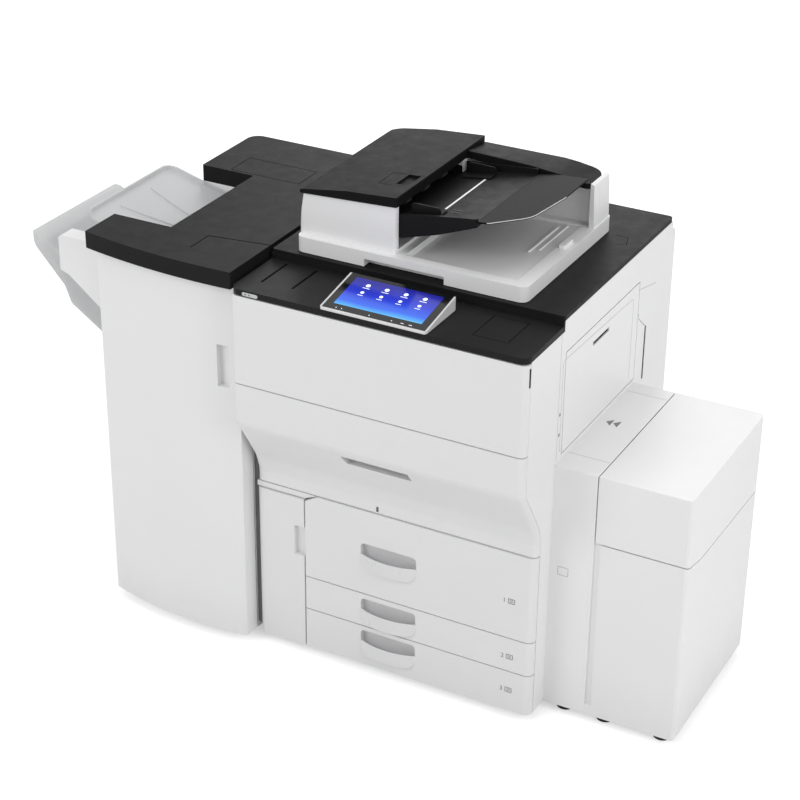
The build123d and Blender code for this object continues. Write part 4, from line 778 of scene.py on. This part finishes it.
seam("panel_joint", "x", [(178, 682), (178, 1003)], face, "chassis")
seam("side_panel_line", "x", [(636, 862), (640, 846), (675, 817), (687, 809)], face, "chassis",
     gap_grey)
seam("side_panel_joint", "x", [(631, 927), (740, 903)], face, "chassis")
flat_part("door_slot_liner", "x", rounded((361.5, 896.5), (452.5, 905.5), 3), face - 11, face - 3,
          dark_abs, "right_side_door", 0.4)
seam("door_frame_line", "x", [(196, door_low.z + 14), (194, 700), (193, 925), (199, 931),
                              (590, 919), (598, 911), (598, door_low.z + 14)], face,
     "right_side_door")
for k, z in enumerate((747, 799)):
    flat_part(f"side_cap_{k}", "x", rounded((184, z - 4), (190, z + 4), 1.5), face - 0.2,
              face + 0.5, gap_grey, "chassis", 0.2)
flat_part("exhaust_liner", "x", rounded((684.5, 663), (693.5, 807), 3), face - 2.6, face - 1.2,
          dark_abs, "chassis", 0.2)
deck = span("scanner_housing")
seam("deck_hatch_line", "z", [(672, 658), (703, 655), (716, 612), (693, 610)], deck[1].z, "chassis",
     groove_shade_and_seam_black)
print("right side dressed")

# %% [markdown]
# ## The document feeder
#
# The feeder's tray has a white guide film and a short size scale on its bed, which rises to the
# right in a shallow curve. The exit bed has two low ribs and a small stopper that keeps sheets
# from sliding off.

# %% Feeder details
bed = span("input_tray")
BED_X0, BED_X1 = 301.0, 505.0
BED_SLOPE, BED_SAG, BED_DROP = 0.165, 0.0001, 9
REAR_WALL = 3.5


def tray_bed(x):
    """Height of the tray's curved bed at x."""
    run, whole = x - BED_X0, BED_X1 - BED_X0
    foot = bed[1].z - REAR_WALL - BED_SLOPE * whole + BED_SAG * whole ** 2
    return foot + BED_SLOPE * run - BED_SAG * run ** 2 - BED_DROP


strip_z = tray_bed(392)
flat_part("guide_film", "z", rounded((389.5, 306), (394.5, 512), 1.5), strip_z - 0.6, strip_z + 0.4,
          pale_strip, "feeder", 0.2)
for k, y in enumerate((288, 300)):
    flat_part(f"size_scale_{k}", "z", rounded((415, y), (470, y + 1), 0.4, 3), tray_bed(442) - 1,
              tray_bed(442) - 0.5, grey_ink, "feeder", 0)
base = span("feeder_base")
for k, (x0, x1, y0, y1) in enumerate(((560, 566, 395, 560), (578, 584, 415, 575))):
    flat_part(f"exit_rib_{k}", "z", rounded((x0, y0), (x1, y1), 2.5), base[1].z - 9,
              base[1].z - 1.5, white_abs, "feeder", 1.2)
flat_part("exit_stopper", "z", rounded((618, 436), (636, 486), 5), base[1].z - 1, base[1].z + 9,
          white_abs, "feeder", 2.5)

# %% [markdown]
# ## Inside the feeder's throat
#
# The cheeks of the throat are white outside, so thin liners keep its inside black.

# %% Black liners inside the feeder
LINER_T = 0.6
for name, y0 in (("throat_liner_rear", 557 - LINER_T), ("throat_liner_front", 236)):
    flat_part(name, "y", rounded((95, 1092), (309, 1183), 4), y0, y0 + LINER_T, dark_abs, "feeder",
              0)

# %% [markdown]
# ## Size dots
#
# Three dots on the falling end of the ridge, beside the extension, line up with paper sizes.

# %% Size dots on the ridge
ridge = span("feeder_ridge")
DOTS_X0, DOTS_DROP, RIDGE_FALL = 549, 11.0, 0.13
for k, (x, y) in enumerate(((DOTS_X0, 582), (570, 584), (590, 586))):
    top_z = ridge[1].z - DOTS_DROP - RIDGE_FALL * (x - DOTS_X0)
    flat_part(f"size_dot_{k}", "z", disc(x, y, 2.2, 14), top_z - 3, top_z - 1.2, foot_nylon,
              "feeder", 0.2)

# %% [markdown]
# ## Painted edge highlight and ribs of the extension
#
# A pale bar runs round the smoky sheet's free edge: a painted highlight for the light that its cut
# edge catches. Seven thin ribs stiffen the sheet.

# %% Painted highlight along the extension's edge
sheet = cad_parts["tray_extension"]
corners = sorted({(round(v.co.x, 5), round(v.co.y, 5)) for v in sheet.data.vertices})


def outline_of(points):
    """Outer boundary of flat points, in order (the sheet's outline has no hollows)."""
    halves = []
    for ordered in (points, list(reversed(points))):
        half = []
        for p in ordered:
            while len(half) > 1 and ((half[-1][0] - half[-2][0]) * (p[1] - half[-2][1])
                                     - (half[-1][1] - half[-2][1]) * (p[0] - half[-2][0])) <= 0:
                half.pop()
            half.append(p)
        halves += half[:-1]
    return halves


SHEET_T, SHEET_RISE = 4 * MM, 9.0 / 122.0
sheet_low, sheet_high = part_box("tray_extension")
slab_z = sheet_high[2] - SHEET_T - SHEET_RISE * (sheet_high[0] - sheet_low[0])


def in_sheet(x, y, lift_mm):
    """Point of the sloping sheet, a lift above its underside."""
    return x, y, slab_z + lift_mm * MM + SHEET_RISE * (x - sheet_low[0])


free_edge = [p for p in outline_of(corners)
             if p[0] > sheet_low[0] + 20 * MM and p[1] < sheet_high[1] - 10 * MM]
free_edge.sort(key=lambda p: math.atan2(p[1] - sheet_high[1], p[0] - sheet_low[0]))
# Painted highlight: a pale round bar along the sheet's free edge.
round_bar("sheet_edge_highlight", [in_sheet(x, y, 3) for x, y in free_edge], 1.1, lens_and_highlight_clear,
          "tray_extension", "smoky_sheet", bevel_resolution=2)

# %% Ribs of the extension
RIB_Y0, RIB_PITCH = 265, 44
SLANT_X0, SLANT = 560, 0.24
for k in range(7):
    y = RIB_Y0 + RIB_PITCH * k
    x_end = min(sheet_high[0], CORNER_X + (SLANT_X0 + SLANT * (y - RIB_Y0)) * MM)
    ends = [in_sheet(x, CORNER_Y + y * MM, 3.5)
            for x in (sheet_low[0] + 12 * MM, x_end - 8 * MM)]
    round_bar(f"sheet_rib_{k}", ends, 0.6, foot_nylon, "tray_extension", "smoky_sheet")
print("feeder dressed, rim points:", len(free_edge))

# %% [markdown]
# ## Between the cabinets
#
# A grey plate fills the narrow space between the finisher and the main unit, a little behind
# their fronts, as painted shade, so the gap reads as a soft line. The coupling cabinet carries
# two small arrows that show which way paper travels, two seams across its top and a square plug
# in front.

# %% Painted shade between the cabinets, and arrows
fin = span("finisher_cabinet")
# Painted shade: a grey plate set back in the gap between the cabinets.
flat_part("cabinet_gap_shade", "y", rounded((fin[1].x + 1, 40), (-1, 860), 2), 106, 112, gap_shade_grey,
          "chassis", 0.5)
link_low, link_high = span("coupling_unit")
for k, x in enumerate((770, 788)):
    flat_part(f"feed_arrow_{k}", "z", [(x + 15, 404), (x + 15, 436), (x, 420)],
              link_high.z - 0.2, link_high.z + 0.1, gap_grey, "chassis", 0)
for k, y in enumerate((242, 588)):
    seam(f"coupling_seam_{k}", "z", [(754, y), (link_high.x - 3, y)], link_high.z, "chassis")
flat_part("coupling_square", "y", rounded((771, 390), (798, 413), 3), link_low.y - 0.2,
          link_low.y + 0.2, faint_grey, "chassis", 0,
          hole=rounded((772.4, 391.4), (796.6, 411.6), 1.6))

# %% [markdown]
# ## Inside the front cover
#
# Behind the upper cover lie four toner bottles, each with a coloured cap so that a user can't mix
# them up.

# %% Toner caps
bottles = span("toner_bottles")
BOTTLE_X0, BOTTLE_PITCH = 135, 160
for k, cap in enumerate(toner_caps):
    outer = disc(BOTTLE_X0 + BOTTLE_PITCH * k, bottles[0].z + 46, 21)
    flat_part(f"toner_cap_{k}", "y", outer, bottles[0].y - 4, bottles[0].y + 12, cap, "chassis",
              1.5)

# %% [markdown]
# ## Fasteners at the back
#
# The rear covers are held by flush countersunk screws, which a service engineer undoes.

# %% Rear screws
back = span("rear_cover")[1].y
heads = [(x, z) for x in (24, 726) for z in (60, 360, 660, 960)]
for k, (x, z) in enumerate(heads):
    flat_part(f"cover_screw_{k}", "y", disc(x, z, 4.2, 20), back - 0.6, back + 0.05, zinc_steel,
              "chassis", 0)
print("rear screws:", len(heads))

# %% [markdown]
# ## The CAD box
#
# The CAD model's box is printed. The visible model must stay in the CAD model's box.

# %% Sizes
print("CAD box", [round(v, 4) for v in (*cad_box[0], *cad_box[1])])
